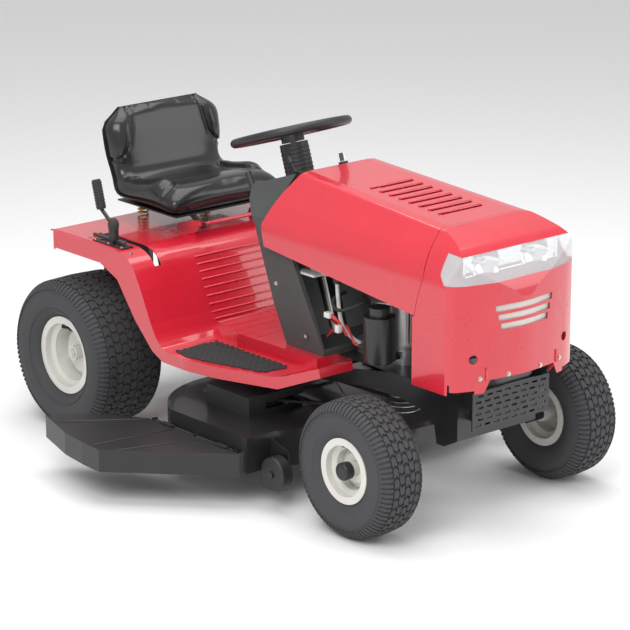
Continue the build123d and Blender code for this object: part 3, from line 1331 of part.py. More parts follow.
PAD_PLAN = [(483, -404), (470, -286), (760, -250), (810, -262), (795, -338), (640, -392), (540, -414)]
PAD_SHEET = 3.0
with BuildPart() as foot_pads:
    for side in SIDES.values():
        plan_prism([(x, -side * y) for x, y in PAD_PLAN], FLOOR_Z, FLOOR_Z + PAD_SHEET)
    block((765, PEDAL_Y - 20, FLOOR_Z - 1), (890, PEDAL_Y + 20, FLOOR_Z + 10), mode=Mode.SUBTRACT)
finish(foot_pads.part, "foot_pads")

QUADRANT_SHEET = 3.0
with BuildPart() as lever_quadrant:
    plan_prism(
        [(96, -372), (240, -372), (240, -414), (96, -414)], SEAT_DECK_Z, SEAT_DECK_Z + QUADRANT_SHEET
    )
    block((116, SHIFT_LEVER_Y - 8, 590), (228, SHIFT_LEVER_Y + 8, 610), mode=Mode.SUBTRACT)
    # The shift lever's bracket hangs under the seat deck.
    block(
        (SHIFT_PIVOT_X - 10, SHIFT_LEVER_Y - 14, SHIFT_PIVOT_Z - 10),
        (SHIFT_PIVOT_X + 10, SHIFT_LEVER_Y - 9, SEAT_DECK_Z - FENDER_WALL),
    )
    block(
        (SHIFT_PIVOT_X - 10, SHIFT_LEVER_Y + 9, SHIFT_PIVOT_Z - 10),
        (SHIFT_PIVOT_X + 10, SHIFT_LEVER_Y + 14, SEAT_DECK_Z - FENDER_WALL),
    )
    rod(
        (SHIFT_PIVOT_X, SHIFT_LEVER_Y - 14, SHIFT_PIVOT_Z),
        (SHIFT_PIVOT_X, SHIFT_LEVER_Y + 14, SHIFT_PIVOT_Z),
        5,
    )
finish(lever_quadrant.part, "lever_quadrant")

LEVER_RADIUS = 6.0
LIFT_LEVER_KNEE_Z = 556.0
with BuildPart() as lift_lever:
    rod((LIFT_PIVOT_X, -205, LIFT_PIVOT_Z), (LIFT_PIVOT_X, 205, LIFT_PIVOT_Z), LIFT_SHAFT_RADIUS)
    rod((LIFT_PIVOT_X, -188, LIFT_PIVOT_Z), (110, -188, LIFT_LEVER_KNEE_Z), LEVER_RADIUS)
    rod((LIFT_PIVOT_X, -206, LIFT_PIVOT_Z), (LIFT_PIVOT_X, -170, LIFT_PIVOT_Z), 18)
    rod((110, -182, LIFT_LEVER_KNEE_Z), (104, LIFT_LEVER_Y, LIFT_LEVER_KNEE_Z), LEVER_RADIUS)
    with Locations((110, -188, LIFT_LEVER_KNEE_Z), (104, LIFT_LEVER_Y, LIFT_LEVER_KNEE_Z)):
        Sphere(LEVER_RADIUS)
    rod((104, LIFT_LEVER_Y, LIFT_LEVER_KNEE_Z), (90, LIFT_LEVER_Y, 640), LEVER_RADIUS)
    with Locations((90, LIFT_LEVER_Y, 640)):
        Sphere(LEVER_RADIUS)
    rod((90, LIFT_LEVER_Y, 640), (44, LIFT_LEVER_Y, 672), LEVER_RADIUS)
    with Locations((44, LIFT_LEVER_Y, 672)):
        Sphere(LEVER_RADIUS)
    rod((44, LIFT_LEVER_Y, 672), (21, LIFT_LEVER_Y, 752), 14)
    for side in SIDES.values():
        low, high = sorted((side * (HANGER_Y - 8), side * (HANGER_Y - 2)))
        side_prism(
            [
                (LIFT_PIVOT_X - 6, LIFT_PIVOT_Z + 12),
                (HANGER_X - 2, HANGER_Z + 10),
                (HANGER_X + 4, HANGER_Z - 10),
                (LIFT_PIVOT_X + 6, LIFT_PIVOT_Z - 14),
            ],
            low,
            high,
        )
        rod((HANGER_X, side * (HANGER_Y - 8), HANGER_Z), (HANGER_X, side * (HANGER_Y + 10), HANGER_Z), 6)
finish(lift_lever.part, "lift_lever")

with BuildPart() as shift_lever:
    rod((SHIFT_PIVOT_X, SHIFT_LEVER_Y, SHIFT_PIVOT_Z), (SHIFT_PIVOT_X, SHIFT_LEVER_Y, 626), 5)
    rod((SHIFT_PIVOT_X, SHIFT_LEVER_Y, 614), (SHIFT_PIVOT_X, SHIFT_LEVER_Y, 662), 15)
    fillet(shift_lever.edges().filter_by(GeomType.CIRCLE).sort_by(Axis.Z)[-1], 10)
    rod(
        (SHIFT_PIVOT_X, SHIFT_LEVER_Y - 6, SHIFT_PIVOT_Z),
        (SHIFT_PIVOT_X, SHIFT_LEVER_Y + 6, SHIFT_PIVOT_Z),
        12,
    )
    rod(
        (SHIFT_PIVOT_X, SHIFT_LEVER_Y - 7, SHIFT_PIVOT_Z),
        (SHIFT_PIVOT_X, SHIFT_LEVER_Y + 7, SHIFT_PIVOT_Z),
        5 + RUN,
        mode=Mode.SUBTRACT,
    )
finish(shift_lever.part, "shift_lever")

with BuildPart() as brake_pedal:
    rod((PEDAL_PIVOT_X, RAIL_INNER - 8, PEDAL_PIVOT_Z), (PEDAL_PIVOT_X, PEDAL_Y + 12, PEDAL_PIVOT_Z), 8)
    rod((PEDAL_PIVOT_X, PEDAL_Y, PEDAL_PIVOT_Z), (804, PEDAL_Y, 430), 7)
    side_prism([(776, 404), (822, 442), (818, 448), (772, 410)], PEDAL_Y - 32, PEDAL_Y + 40)
    rod((PEDAL_PIVOT_X, RAIL_INNER - 8, PEDAL_PIVOT_Z), (PEDAL_PIVOT_X, RAIL_INNER - LAY, PEDAL_PIVOT_Z), 13)
    rod(
        (PEDAL_PIVOT_X, RAIL_HALF + LAY, PEDAL_PIVOT_Z),
        (PEDAL_PIVOT_X, RAIL_HALF + 8, PEDAL_PIVOT_Z),
        13,
    )
finish(brake_pedal.part, "brake_pedal")

# =============================================================================
# Dash, column cover and small controls
# =============================================================================
DASH_DROP = 125.0
DASH_REAR = on_column(DASH_DROP, -22)
DASH_FRONT = on_column(DASH_DROP, 152)
PEDESTAL_SIDE = [
    (DASH_REAR[0], DASH_REAR[2]),
    (DASH_FRONT[0], DASH_FRONT[2]),
    (686, 826),
    (648, 734),
    (690, 724),
    (760, 706),
    (777, 634),
    (853, 500),
    (899, 398),
    (899, TUNNEL_Z),
    (735, TUNNEL_Z),
    (606, 712),
    (552, 778),
]
PEDESTAL_FRONT = [
    (0, 900),
    (126, 900),
    (140, 866),
    (206, 738),
    (210, 700),
    (210, 500),
    (200, TUNNEL_Z),
    (0, TUNNEL_Z),
]
COLUMN_TUBE_WALL = 4.0
with BuildPart() as dash_pedestal:
    side_prism(PEDESTAL_SIDE, -PEDESTAL_HALF, PEDESTAL_HALF)
    front_prism(arch(PEDESTAL_FRONT), 400, 1000, mode=Mode.INTERSECT)
    rod(on_column(DASH_DROP), on_column(600), COLUMN_RADIUS)
    block((300, -300, 200), (1000, 300, TUNNEL_Z), mode=Mode.SUBTRACT)
    with BuildSketch(Plane.XZ.offset(-PEDESTAL_HALF)) as pedestal_inside:
        with BuildLine():
            Polyline(*PEDESTAL_SIDE, close=True)
        make_face()
        offset(amount=-DASH_WALL)
    inner_side = extrude(pedestal_inside.sketch, amount=2 * PEDESTAL_HALF, mode=Mode.PRIVATE)
    with BuildSketch(Plane.YZ.offset(400)) as pedestal_front_inside:
        with BuildLine():
            Polyline(*arch(PEDESTAL_FRONT), close=True)
        make_face()
        offset(amount=-DASH_WALL)
    inner_front = extrude(pedestal_front_inside.sketch, amount=600, mode=Mode.PRIVATE)
    add(inner_side & inner_front, mode=Mode.SUBTRACT)
    # The side that faces the engine is open below the hood.
    front_prism(
        [(-196, TUNNEL_Z + 20), (196, TUNNEL_Z + 20), (196, 690), (-196, 690)], 750, 1000, mode=Mode.SUBTRACT
    )
    rod(on_column(DASH_DROP - 1), on_column(600), COLUMN_RADIUS - COLUMN_TUBE_WALL, mode=Mode.SUBTRACT)
    block((690, -96, 840), (700, -84, 900), mode=Mode.SUBTRACT)
finish(dash_pedestal.part, "dash_pedestal")

THROTTLE_Y = -96.0
THROTTLE_AHEAD = 100.0
with BuildPart() as throttle_lever:
    rod(
        on_column(DASH_DROP - 6, THROTTLE_AHEAD, THROTTLE_Y - 7),
        on_column(DASH_DROP - 6, THROTTLE_AHEAD, THROTTLE_Y + 7),
        5,
    )
    rod(
        on_column(DASH_DROP - 6, THROTTLE_AHEAD, THROTTLE_Y),
        on_column(DASH_DROP - 40, THROTTLE_AHEAD - 12, THROTTLE_Y),
        3,
    )
    rod(
        on_column(DASH_DROP - 34, THROTTLE_AHEAD - 10, THROTTLE_Y),
        on_column(DASH_DROP - 52, THROTTLE_AHEAD - 16, THROTTLE_Y),
        8,
    )
    rod(
        on_column(DASH_DROP - 6, THROTTLE_AHEAD, THROTTLE_Y - 8),
        on_column(DASH_DROP - 6, THROTTLE_AHEAD, THROTTLE_Y + 8),
        2.5 + RUN,
        mode=Mode.SUBTRACT,
    )
finish(throttle_lever.part, "throttle_lever")

KEY_Y = 92.0
KEY_AHEAD = 92.0
PTO_PIVOT = (566.0, 734.0)
PTO_Y = -150.0
PTO_PIN_RADIUS = 5.0
with BuildPart() as dash_fittings:
    # Sleeve round the steering column, above the dash.
    tube(on_column(HUB_LOW_DROP + 3), on_column(DASH_DROP), 42, 30)
    # The blade lever's ears on the dash's rear face.
    for low in (PTO_Y - 12, PTO_Y + 7 + LAY):
        side_prism(
            [
                (PTO_PIVOT[0] - 10, PTO_PIVOT[1] - 4),
                (PTO_PIVOT[0] - 4, PTO_PIVOT[1] - 10),
                (598, 719),
                (567, 757),
            ],
            low,
            low + 12 - 7 - LAY,
        )
    rod(
        (PTO_PIVOT[0], PTO_Y - 12, PTO_PIVOT[1]),
        (PTO_PIVOT[0], PTO_Y + 12, PTO_PIVOT[1]),
        PTO_PIN_RADIUS,
    )
    # Back plate on the dash.
    side_prism([(597, 723), (570, 756), (567, 753.5), (594, 720.5)], PTO_Y - 16, PTO_Y + 16)
    # Throttle pivot bracket and ignition switch bezel.
    for ear_y in (THROTTLE_Y - 12, THROTTLE_Y + 9):
        rod(
            on_column(DASH_DROP, THROTTLE_AHEAD, ear_y + 1.5),
            on_column(DASH_DROP - 10, THROTTLE_AHEAD, ear_y + 1.5),
            1.5,
        )
    rod(
        on_column(DASH_DROP - 6, THROTTLE_AHEAD, THROTTLE_Y - 12),
        on_column(DASH_DROP - 6, THROTTLE_AHEAD, THROTTLE_Y + 12),
        2.5,
    )
    tube(
        on_column(DASH_DROP, KEY_AHEAD, KEY_Y),
        on_column(DASH_DROP - 8, KEY_AHEAD, KEY_Y),
        14,
        5 + RUN,
    )
finish(dash_fittings.part, "dash_fittings")

with BuildPart() as ignition_key:
    rod(on_column(DASH_DROP - LAY, KEY_AHEAD, KEY_Y), on_column(DASH_DROP - 12, KEY_AHEAD, KEY_Y), 5)
    with BuildSketch(column_plane(DASH_DROP - 34, KEY_AHEAD)):
        with Locations((0, -KEY_Y)):
            Rectangle(20, 5)
    extrude(amount=24)
finish(ignition_key.part, "ignition_key")

with BuildPart() as pto_lever:
    rod((PTO_PIVOT[0], PTO_Y, PTO_PIVOT[1]), (520, PTO_Y, 812), 4)
    rod((529, PTO_Y, 797), (503, PTO_Y, 841), 10)
    rod((PTO_PIVOT[0], PTO_Y - 7, PTO_PIVOT[1]), (PTO_PIVOT[0], PTO_Y + 7, PTO_PIVOT[1]), 11)
    rod(
        (PTO_PIVOT[0], PTO_Y - 8, PTO_PIVOT[1]),
        (PTO_PIVOT[0], PTO_Y + 8, PTO_PIVOT[1]),
        PTO_PIN_RADIUS + RUN,
        mode=Mode.SUBTRACT,
    )
finish(pto_lever.part, "pto_lever")

# =============================================================================
# Hood and grille, which open together about the pivot behind the bumper plate
# =============================================================================
HOOD_REAR_X = 640.0
SEAM_X = 1343.0
SEAM = [(1310, 607), (1322, 660), (1343, 720), (1330, 841)]
SEAM_GAP = 1.5
HOOD_SIDE = [
    (732, 900),
    (732, 879),
    (700, 827),
    (660, 730),
    (675, 669),
    *SEAM,
    (1330, 900),
]


CREASE_ROUND = 20.0
SHOULDER_ROUND = 200.0
FLANK_ROUND = 120.0


def section_rounds(crease, shoulder, flank, inset):
    """Return the corners of a cross-section that are rounded, on both sides, with their radii."""
    rounds = {}
    for corner, radius in ((crease, CREASE_ROUND), (shoulder, SHOULDER_ROUND), (flank, FLANK_ROUND)):
        for side in SIDES.values():
            rounds[(side * corner[0], corner[1])] = radius - inset
    return rounds


def hood_section(x, inset):
    """Return the hood's half cross-section at a station, pulled in by an inset."""
    along = (x - 735) / (1330 - 735)
    top = 879 - 38 * along
    half = 141 + 19 * along
    return [
        (0, top + 6 - inset),
        (half - 30, top + 3 - inset),
        (half - inset * 0.6, top - inset),
        (205 - inset, 790),
        (GRILLE_HALF - inset, 728),
        (GRILLE_HALF - inset, 590),
        (0, 590),
    ]


def hood_loft(inset, x_low, x_high):
    """Return the solid between the hood's cross-sections at two stations."""
    with BuildPart() as lofted:
        for x in (x_low, x_high):
            section = hood_section(x, inset)
            with BuildSketch(Plane.YZ.offset(x)) as station:
                rounded_outline(station, arch(section[1:-1]), section_rounds(*section[2:5], inset))
        loft(ruled=True)
    return lofted.part


HOOD_OUTER = hood_loft(0, HOOD_REAR_X, SEAM_X + 4)
HOOD_INNER = hood_loft(HOOD_WALL, HOOD_REAR_X - 5, SEAM_X + 9)
LOUVRE_ROWS = 8
with BuildPart() as hood_panel:
    add(HOOD_OUTER)
    side_prism(HOOD_SIDE, -GRILLE_HALF, GRILLE_HALF, mode=Mode.INTERSECT)
    add(HOOD_INNER, mode=Mode.SUBTRACT)
    block((600, -GRILLE_HALF + HOOD_WALL, 500), (1400, GRILLE_HALF - HOOD_WALL, 700), mode=Mode.SUBTRACT)
    for row in range(LOUVRE_ROWS):
        slot_x = 960 + row * 40
        block((slot_x, -78, 820), (slot_x + 9, 78, 900), mode=Mode.SUBTRACT)
finish(hood_panel.part, "hood_panel")

NOSE_PLAN_HALF = GRILLE_HALF + 1  # just past the flanks, which the front outline sets
NOSE_PLAN = [
    (1290, NOSE_PLAN_HALF),
    (1448, NOSE_PLAN_HALF),
    (1474, 190),
    (1495, 112),
    (NOSE_X, 20),
    (NOSE_X, 0),
]
NOSE_SIDE = [
    (1303, 410),
    (1303, 604),
    *[(x + SEAM_GAP, z) for x, z in SEAM],
    (1330 + SEAM_GAP, 846),
    (1400, 826),
    (1456, 802),
    (1500, 716),
    (1510, 640),
    (1510, 410),
]
NOSE_FRONT = [
    (0, 846),
    (130, 844),
    (160, 841),
    (205, 790),
    (GRILLE_HALF, 728),
    (GRILLE_HALF, 400),
    (0, 400),
]


NOSE_SIDE_ROUNDS = {(1400, 826): 400, (1456, 802): 80, (1500, 716): 250, (1510, 640): 450}
NOSE_PLAN_ROUNDS = {
    (1448, NOSE_PLAN_HALF): 40,
    (1448, -NOSE_PLAN_HALF): 40,
    (1474, 190): 200,
    (1474, -190): 200,
    (1495, 112): 500,
    (1495, -112): 500,
    (NOSE_X, 20): 250,
    (NOSE_X, -20): 250,
}
NOSE_FRONT_ROUNDS = section_rounds(*NOSE_FRONT[2:5], 0)


def nose_solid(inset):
    """Return the nose as the common part of its three outlines, pulled in by an inset."""
    with BuildPart() as nose:
        with BuildSketch(Plane.XZ) as side_view:
            rounded_outline(side_view, NOSE_SIDE, NOSE_SIDE_ROUNDS)
            if inset:
                offset(amount=-inset)
        extrude(side_view.sketch, amount=GRILLE_HALF + 5, both=True)
        with BuildSketch(Plane.XY.offset(600)) as plan_view:
            rounded_outline(plan_view, both(NOSE_PLAN), NOSE_PLAN_ROUNDS)
            if inset:
                offset(amount=-inset)
        extrude(plan_view.sketch, amount=400, both=True, mode=Mode.INTERSECT)
        with BuildSketch(Plane.YZ.offset(1400)) as front_view:
            rounded_outline(front_view, arch(NOSE_FRONT[1:-1]), NOSE_FRONT_ROUNDS)
            if inset:
                offset(amount=-inset)
        extrude(front_view.sketch, amount=400, both=True, mode=Mode.INTERSECT)
    return nose.part


LENS_LOW_Z = 716.0
LENS_HIGH_Z = 800.0
LENS_REAR_X = 1405.0
NOSE_OUTER = nose_solid(0)
NOSE_INNER = nose_solid(HOOD_WALL)
SLOT_ROWS = ((580, 598, 88), (606, 624, 97), (632, 650, 106))
with BuildPart() as lens_zone:
    side_prism(
        [
            (LENS_REAR_X, 796),
            (LENS_REAR_X, 742),
            (1425, LENS_LOW_Z),
            (1540, LENS_LOW_Z),
            (1540, 790),
            (1470, 790),
            (1452, LENS_HIGH_Z - 6),
        ],
        -GRILLE_HALF - 10,
        GRILLE_HALF + 10,
    )
with BuildPart() as grille_shell:
    add(NOSE_OUTER)
    add(NOSE_INNER, mode=Mode.SUBTRACT)
    # Open at the bottom and towards the hood.
    block((1290, -GRILLE_HALF + HOOD_WALL, 400), (1480, GRILLE_HALF - HOOD_WALL, 420), mode=Mode.SUBTRACT)
    plan_prism(
        [(x - HOOD_WALL if x > 1400 else x, y * 0.985) for x, y in both(NOSE_PLAN)],
        400,
        440,
        mode=Mode.SUBTRACT,
    )
    side_prism(
        [(1300, 400), (1300, 840), (1332, 840), (1346, 720), (1326, 659), (1307, 600), (1307, 400)],
        -GRILLE_HALF + HOOD_WALL,
        GRILLE_HALF - HOOD_WALL,
        mode=Mode.SUBTRACT,
    )
    front_prism([(-155, 380), (-120, 445), (120, 445), (155, 380)], 1380, 1600, mode=Mode.SUBTRACT)
    add(lens_zone.part, mode=Mode.SUBTRACT)
    for low, high, half in SLOT_ROWS:
        block((1400, -half, low), (1600, half, high), mode=Mode.SUBTRACT)
    for side in SIDES.values():
        with Locations(Location((1490, side * 172, 508), (0, 90, 0))):
            Cylinder(13, 120, mode=Mode.SUBTRACT)
        # Hinge lug, with a bore for the pivot pin.
        low, high = sorted((side * (HOOD_EAR_Y + 6 + LAY), side * (HOOD_EAR_Y + 14)))
        side_prism(
            [
                (HOOD_PIVOT_X - 8, HOOD_PIVOT_Z + 8),
                (HOOD_PIVOT_X + 8, HOOD_PIVOT_Z - 8),
                (NOSE_X - 14, HOOD_PIVOT_Z + 28),
                (NOSE_X - 14, HOOD_PIVOT_Z + 60),
            ],
            low,
            high,
        )
        rod((HOOD_PIVOT_X, low, HOOD_PIVOT_Z), (HOOD_PIVOT_X, high, HOOD_PIVOT_Z), 11)
        rod(
            (HOOD_PIVOT_X, low - 1, HOOD_PIVOT_Z),
            (HOOD_PIVOT_X, high + 1, HOOD_PIVOT_Z),
            HOOD_PIN_RADIUS + RUN,
            mode=Mode.SUBTRACT,
        )
finish(grille_shell.part, "grille_shell")

with BuildPart() as headlight_lens:
    add(NOSE_OUTER)
    add(nose_solid(HOOD_WALL - 0.5), mode=Mode.SUBTRACT)
    add(lens_zone.part, mode=Mode.INTERSECT)
finish(headlight_lens.part, "headlight_lens")

with BuildPart() as headlight_reflector:
    block((1360, -178, 722), (1440, 178, 790))
    for side in SIDES.values():
        with Locations((1470, side * 92, 756)):
            Sphere(62, mode=Mode.SUBTRACT)
    block((1436, -170, 728), (1460, 170, 784), mode=Mode.SUBTRACT)
    for side in SIDES.values():
        # Bulb and its socket in the middle of each bowl.
        rod((1395, side * 92, 756), (1424, side * 92, 756), 9)
        with Locations((1424, side * 92, 756)):
            Sphere(12)
        # Feet that seat the reflector on the inside of the grille's brow.
        foot = Pos(1372, side * 150, 820) * Box(20, 20, 70, mode=Mode.PRIVATE)
        add(foot & NOSE_INNER)
finish(headlight_reflector.part, "headlight_reflector")

BUMPER_X = 1448.0
BUMPER_SHEET = 4.0
BUMPER_HALF = 146.0
with BuildPart() as bumper_plate:
    block((BUMPER_X, -BUMPER_HALF, 292), (BUMPER_X + BUMPER_SHEET, BUMPER_HALF, 400))
    for side in SIDES.values():
        block((FRAME_FRONT, side * 90 - 12, 300), (BUMPER_X + 1, side * 90 + 12, 304))
        block((FRAME_FRONT, side * 90 - 12, 300), (FRAME_FRONT + 4, side * 90 + 12, 330))
    for row in range(6):
        for column in range(8):
            with Locations((BUMPER_X + 2, (column - 3.5) * 34 + (row % 2 - 0.5) * 8, 304 + row * 16.5)):
                Box(12, 20, 6, mode=Mode.SUBTRACT)
finish(bumper_plate.part, "bumper_plate")

# =============================================================================
# Seat
# =============================================================================
SEAT_PAN_Z = 655.0
with BuildPart() as seat_bracket:
    for side in SIDES.values():
        low, high = sorted((side * 136, side * 140))
        side_prism(
            [
                (150, SEAT_DECK_Z),
                (236, SEAT_DECK_Z),
                (SEAT_PIVOT_X + 12, SEAT_PIVOT_Z + 10),
                (SEAT_PIVOT_X - 14, SEAT_PIVOT_Z + 12),
                (160, SEAT_DECK_Z + 20),
            ],
            low,
            high,
        )
        low, high = sorted((side * 136, side * 164))
        block((150, low, SEAT_DECK_Z), (236, high, SEAT_DECK_Z + 4))
    rod((SEAT_PIVOT_X, -146, SEAT_PIVOT_Z), (SEAT_PIVOT_X, 146, SEAT_PIVOT_Z), SEAT_PIN_RADIUS)
finish(seat_bracket.part, "seat_bracket")

PAN_SHEET = 4.0
with BuildPart() as seat_pan:
    block((-62, -SEAT_HALF + 22, SEAT_PAN_Z), (226, SEAT_HALF - 22, SEAT_PAN_Z + PAN_SHEET))
    for side in SIDES.values():
        low, high = sorted((side * 124, side * 132))
        side_prism(
            [
                (190, SEAT_PAN_Z + 1),
                (226, SEAT_PAN_Z + 1),
                (SEAT_PIVOT_X + 10, SEAT_PIVOT_Z),
                (SEAT_PIVOT_X, SEAT_PIVOT_Z - 11),
                (SEAT_PIVOT_X - 14, SEAT_PIVOT_Z - 8),
            ],
            low,
            high,
        )
        rod((SEAT_PIVOT_X, low, SEAT_PIVOT_Z), (SEAT_PIVOT_X, high, SEAT_PIVOT_Z), 12)
        rod(
            (SEAT_PIVOT_X, low - 1, SEAT_PIVOT_Z),
            (SEAT_PIVOT_X, high + 1, SEAT_PIVOT_Z),
            SEAT_PIN_RADIUS + RUN,
            mode=Mode.SUBTRACT,
        )
finish(seat_pan.part, "seat_pan")

CUSHION_BOTTOM = SEAT_PAN_Z + PAN_SHEET
with BuildPart() as seat_cushion:
    side_prism(
        [
            (-78, CUSHION_BOTTOM),
            (214, CUSHION_BOTTOM),
            (238, 680),
            (240, 704),
            (222, 732),
            (180, 740),
            (60, 716),
            (10, 724),
            (-30, 790),
            (-62, 910),
            (-84, 948),
            (-112, 948),
            (-134, 920),
            (-124, 820),
            (-104, 700),
        ],
        -SEAT_HALF,
        SEAT_HALF,
    )
    # Rounded outline of the back seen from the front, and of the seat seen from above.
    with BuildSketch(Plane.YZ.offset(-200)) as back_outline:
        with Locations((0, 780)):
            RectangleRounded(2 * SEAT_HALF, 2 * (951 - 780), 80)
        with Locations((0, 700)):
            Rectangle(2 * SEAT_HALF, 160)
    extrude(back_outline.sketch, amount=600, mode=Mode.INTERSECT)
    with BuildSketch(Plane.XY.offset(600)) as seat_outline:
        with Locations((40, 0)):
            RectangleRounded(400, 2 * SEAT_HALF, 60)
    extrude(seat_outline.sketch, amount=400, mode=Mode.INTERSECT)
finish(seat_cushion.part, "seat_cushion")

SPRING_RADIUS = 16.0
SPRING_WIRE = 2.6
SPRING_X = -40.0
SPRING_Y = 120.0
SPRING_TURNS = 5
spring_low = SEAT_DECK_Z + SPRING_WIRE + LAY
spring_height = SEAT_PAN_Z - LAY - SPRING_WIRE - spring_low
with BuildPart() as seat_springs:
    for side in SIDES.values():
        coil = Helix(pitch=spring_height / SPRING_TURNS, height=spring_height, radius=SPRING_RADIUS)
        coil = Pos(SPRING_X, side * SPRING_Y, spring_low) * coil
        with BuildSketch(Plane(origin=coil @ 0, z_dir=coil % 0)) as wire:
            Circle(SPRING_WIRE)
        sweep(wire.sketch, path=coil)
finish(seat_springs.part, "seat_springs")
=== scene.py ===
"""Riding lawn mower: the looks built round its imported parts.

Everything is placed from the machine's own datum: the middle of the rear axle in plan, and the
ground. Lengths given to the helpers are millimetres from that datum: x forward, y to the left, z up.
"""

import json
import logging
import math
import random
from dataclasses import dataclass, field
from enum import Enum
from typing import Callable, Iterable, Sequence

import bpy
from mathutils import Matrix, Vector

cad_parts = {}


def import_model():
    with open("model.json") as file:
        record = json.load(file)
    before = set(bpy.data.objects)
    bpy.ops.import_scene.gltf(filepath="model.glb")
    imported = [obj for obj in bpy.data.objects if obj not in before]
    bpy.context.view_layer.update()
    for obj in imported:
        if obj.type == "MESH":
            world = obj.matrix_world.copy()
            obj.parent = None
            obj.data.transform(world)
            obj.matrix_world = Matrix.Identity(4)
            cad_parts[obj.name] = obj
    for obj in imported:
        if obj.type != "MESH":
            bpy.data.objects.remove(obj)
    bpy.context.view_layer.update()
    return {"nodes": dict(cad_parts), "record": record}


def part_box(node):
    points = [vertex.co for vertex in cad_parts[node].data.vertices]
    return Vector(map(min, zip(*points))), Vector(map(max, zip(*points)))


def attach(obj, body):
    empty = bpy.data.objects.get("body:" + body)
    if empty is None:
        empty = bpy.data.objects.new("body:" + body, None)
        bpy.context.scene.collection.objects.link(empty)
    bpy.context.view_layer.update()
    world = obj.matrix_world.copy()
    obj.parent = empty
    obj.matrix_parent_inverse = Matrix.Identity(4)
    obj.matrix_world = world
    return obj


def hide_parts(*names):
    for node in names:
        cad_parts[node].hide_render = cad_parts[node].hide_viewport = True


log = logging.getLogger("mower")
Point = tuple[float, float, float]
MM = 0.001
STEER_TILT = math.radians(19)
LUG_HEIGHT = 5.5  # the tread's blocks stand this far above the carcass


class Side(Enum):
    """The right or the left of the machine, as the driver sits."""

    RIGHT = "right"
    LEFT = "left"

    @property
    def sign(self) -> int:
        """Return the sign of y on this side."""
        return -1 if self is Side.RIGHT else 1


# ---------------------------------------------------------------------------
# Datum and modelling helpers
# ---------------------------------------------------------------------------
class Datum:
    """Turns machine millimetres into the frame's metres."""

    origin = Vector((0, 0, 0))

    @classmethod
    def read(cls) -> None:
        """Find the rear axle's middle from the two rear tyres."""
        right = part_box("rear_tyre_right")
        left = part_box("rear_tyre_left")
        cls.origin = Vector(
            ((right[0].x + right[1].x) / 2, (right[0].y + left[1].y) / 2, 0)
        )

    @classmethod
    def at(cls, x: float, y: float, z: float) -> Vector:
        """Return a place in the frame for machine millimetres."""
        return cls.origin + Vector((x, y, z)) * MM

    @classmethod
    def column(cls, drop: float, ahead: float = 0.0, y: float = 0.0) -> Point:
        """Return machine millimetres for a place along the steering column.

        Args:
            drop: distance down the column from the steering wheel's hub.
            ahead: distance square to the column, forward.
            y: distance to the left.

        Returns:
            The place in machine millimetres.
        """
        sine, cosine = math.sin(STEER_TILT), math.cos(STEER_TILT)
        return (520 + drop * sine + ahead * cosine, y, 941 - drop * cosine + ahead * sine)


def clear_selection() -> None:
    """Leave edit mode and deselect everything."""
    if bpy.context.object and bpy.context.object.mode != "OBJECT":
        bpy.ops.object.mode_set(mode="OBJECT")
    bpy.ops.object.select_all(action="DESELECT")


def activate(piece: bpy.types.Object) -> None:
    """Make a piece the only selected and active object."""
    clear_selection()
    piece.select_set(True)
    bpy.context.view_layer.objects.active = piece


def settle(piece: bpy.types.Object) -> bpy.types.Object:
    """Move a piece's place, turn and scale into its mesh."""
    activate(piece)
    bpy.ops.object.transform_apply(location=True, rotation=True, scale=True)
    return piece


def named(name: str) -> bpy.types.Object:
    """Name the active object and its mesh, and return it."""
    piece = bpy.context.object
    piece.name = name
    piece.data.name = name
    return piece


def bevelled(piece: bpy.types.Object, width: float, segments: int = 2, angle: float = 35) -> None:
    """Round a piece's edges with an applied Bevel modifier.

    Args:
        piece: the mesh to round.
        width: the round's size in millimetres.
        segments: the number of steps across the round.
        angle: edges flatter than this many degrees are left.
    """
    activate(piece)
    rounding = piece.modifiers.new("round", "BEVEL")
    rounding.width = width * MM
    rounding.segments = segments
    rounding.limit_method = "ANGLE"
    rounding.angle_limit = math.radians(angle)
    bpy.ops.object.modifier_apply(modifier=rounding.name)


def smooth(piece: bpy.types.Object, angle: float = 40) -> None:
    """Shade a piece smooth, except across edges sharper than an angle in degrees."""
    activate(piece)
    bpy.ops.object.shade_smooth_by_angle(angle=math.radians(angle))


def slab(name: str, low: Point, high: Point, radius: float = 1.5) -> bpy.types.Object:
    """Make a block between two corners, with rounded edges.

    Args:
        name: the piece's name.
        low: lowest corner in machine millimetres.
        high: highest corner in machine millimetres.
        radius: the round on every edge in millimetres.

    Returns:
        The finished mesh object.
    """
    clear_selection()
    middle = Datum.at(*[(a + b) / 2 for a, b in zip(low, high)])
    bpy.ops.mesh.primitive_cube_add(size=1, location=middle)
    piece = named(name)
    piece.scale = [(b - a) * MM for a, b in zip(low, high)]
    settle(piece)
    bevelled(piece, radius)
    smooth(piece)
    return piece


def bar(name: str, start: Point, end: Point, radius: float, sides: int = 24, edge: float = 0.8) -> bpy.types.Object:
    """Make a round bar between two places, with its end edges eased.

    Args:
        name: the piece's name.
        start: middle of one end in machine millimetres.
        end: middle of the other end.
        radius: the bar's radius in millimetres.
        sides: faces round the bar.
        edge: the round on its end edges in millimetres.

    Returns:
        The finished mesh object.
    """
    clear_selection()
    first, last = Datum.at(*start), Datum.at(*end)
    run = last - first
    bpy.ops.mesh.primitive_cylinder_add(
        vertices=sides, radius=radius * MM, depth=run.length, location=(first + last) / 2
    )
    piece = named(name)
    piece.rotation_euler = run.to_track_quat("Z", "Y").to_euler()
    settle(piece)
    if edge:
        bevelled(piece, edge, angle=50)
    smooth(piece)
    return piece


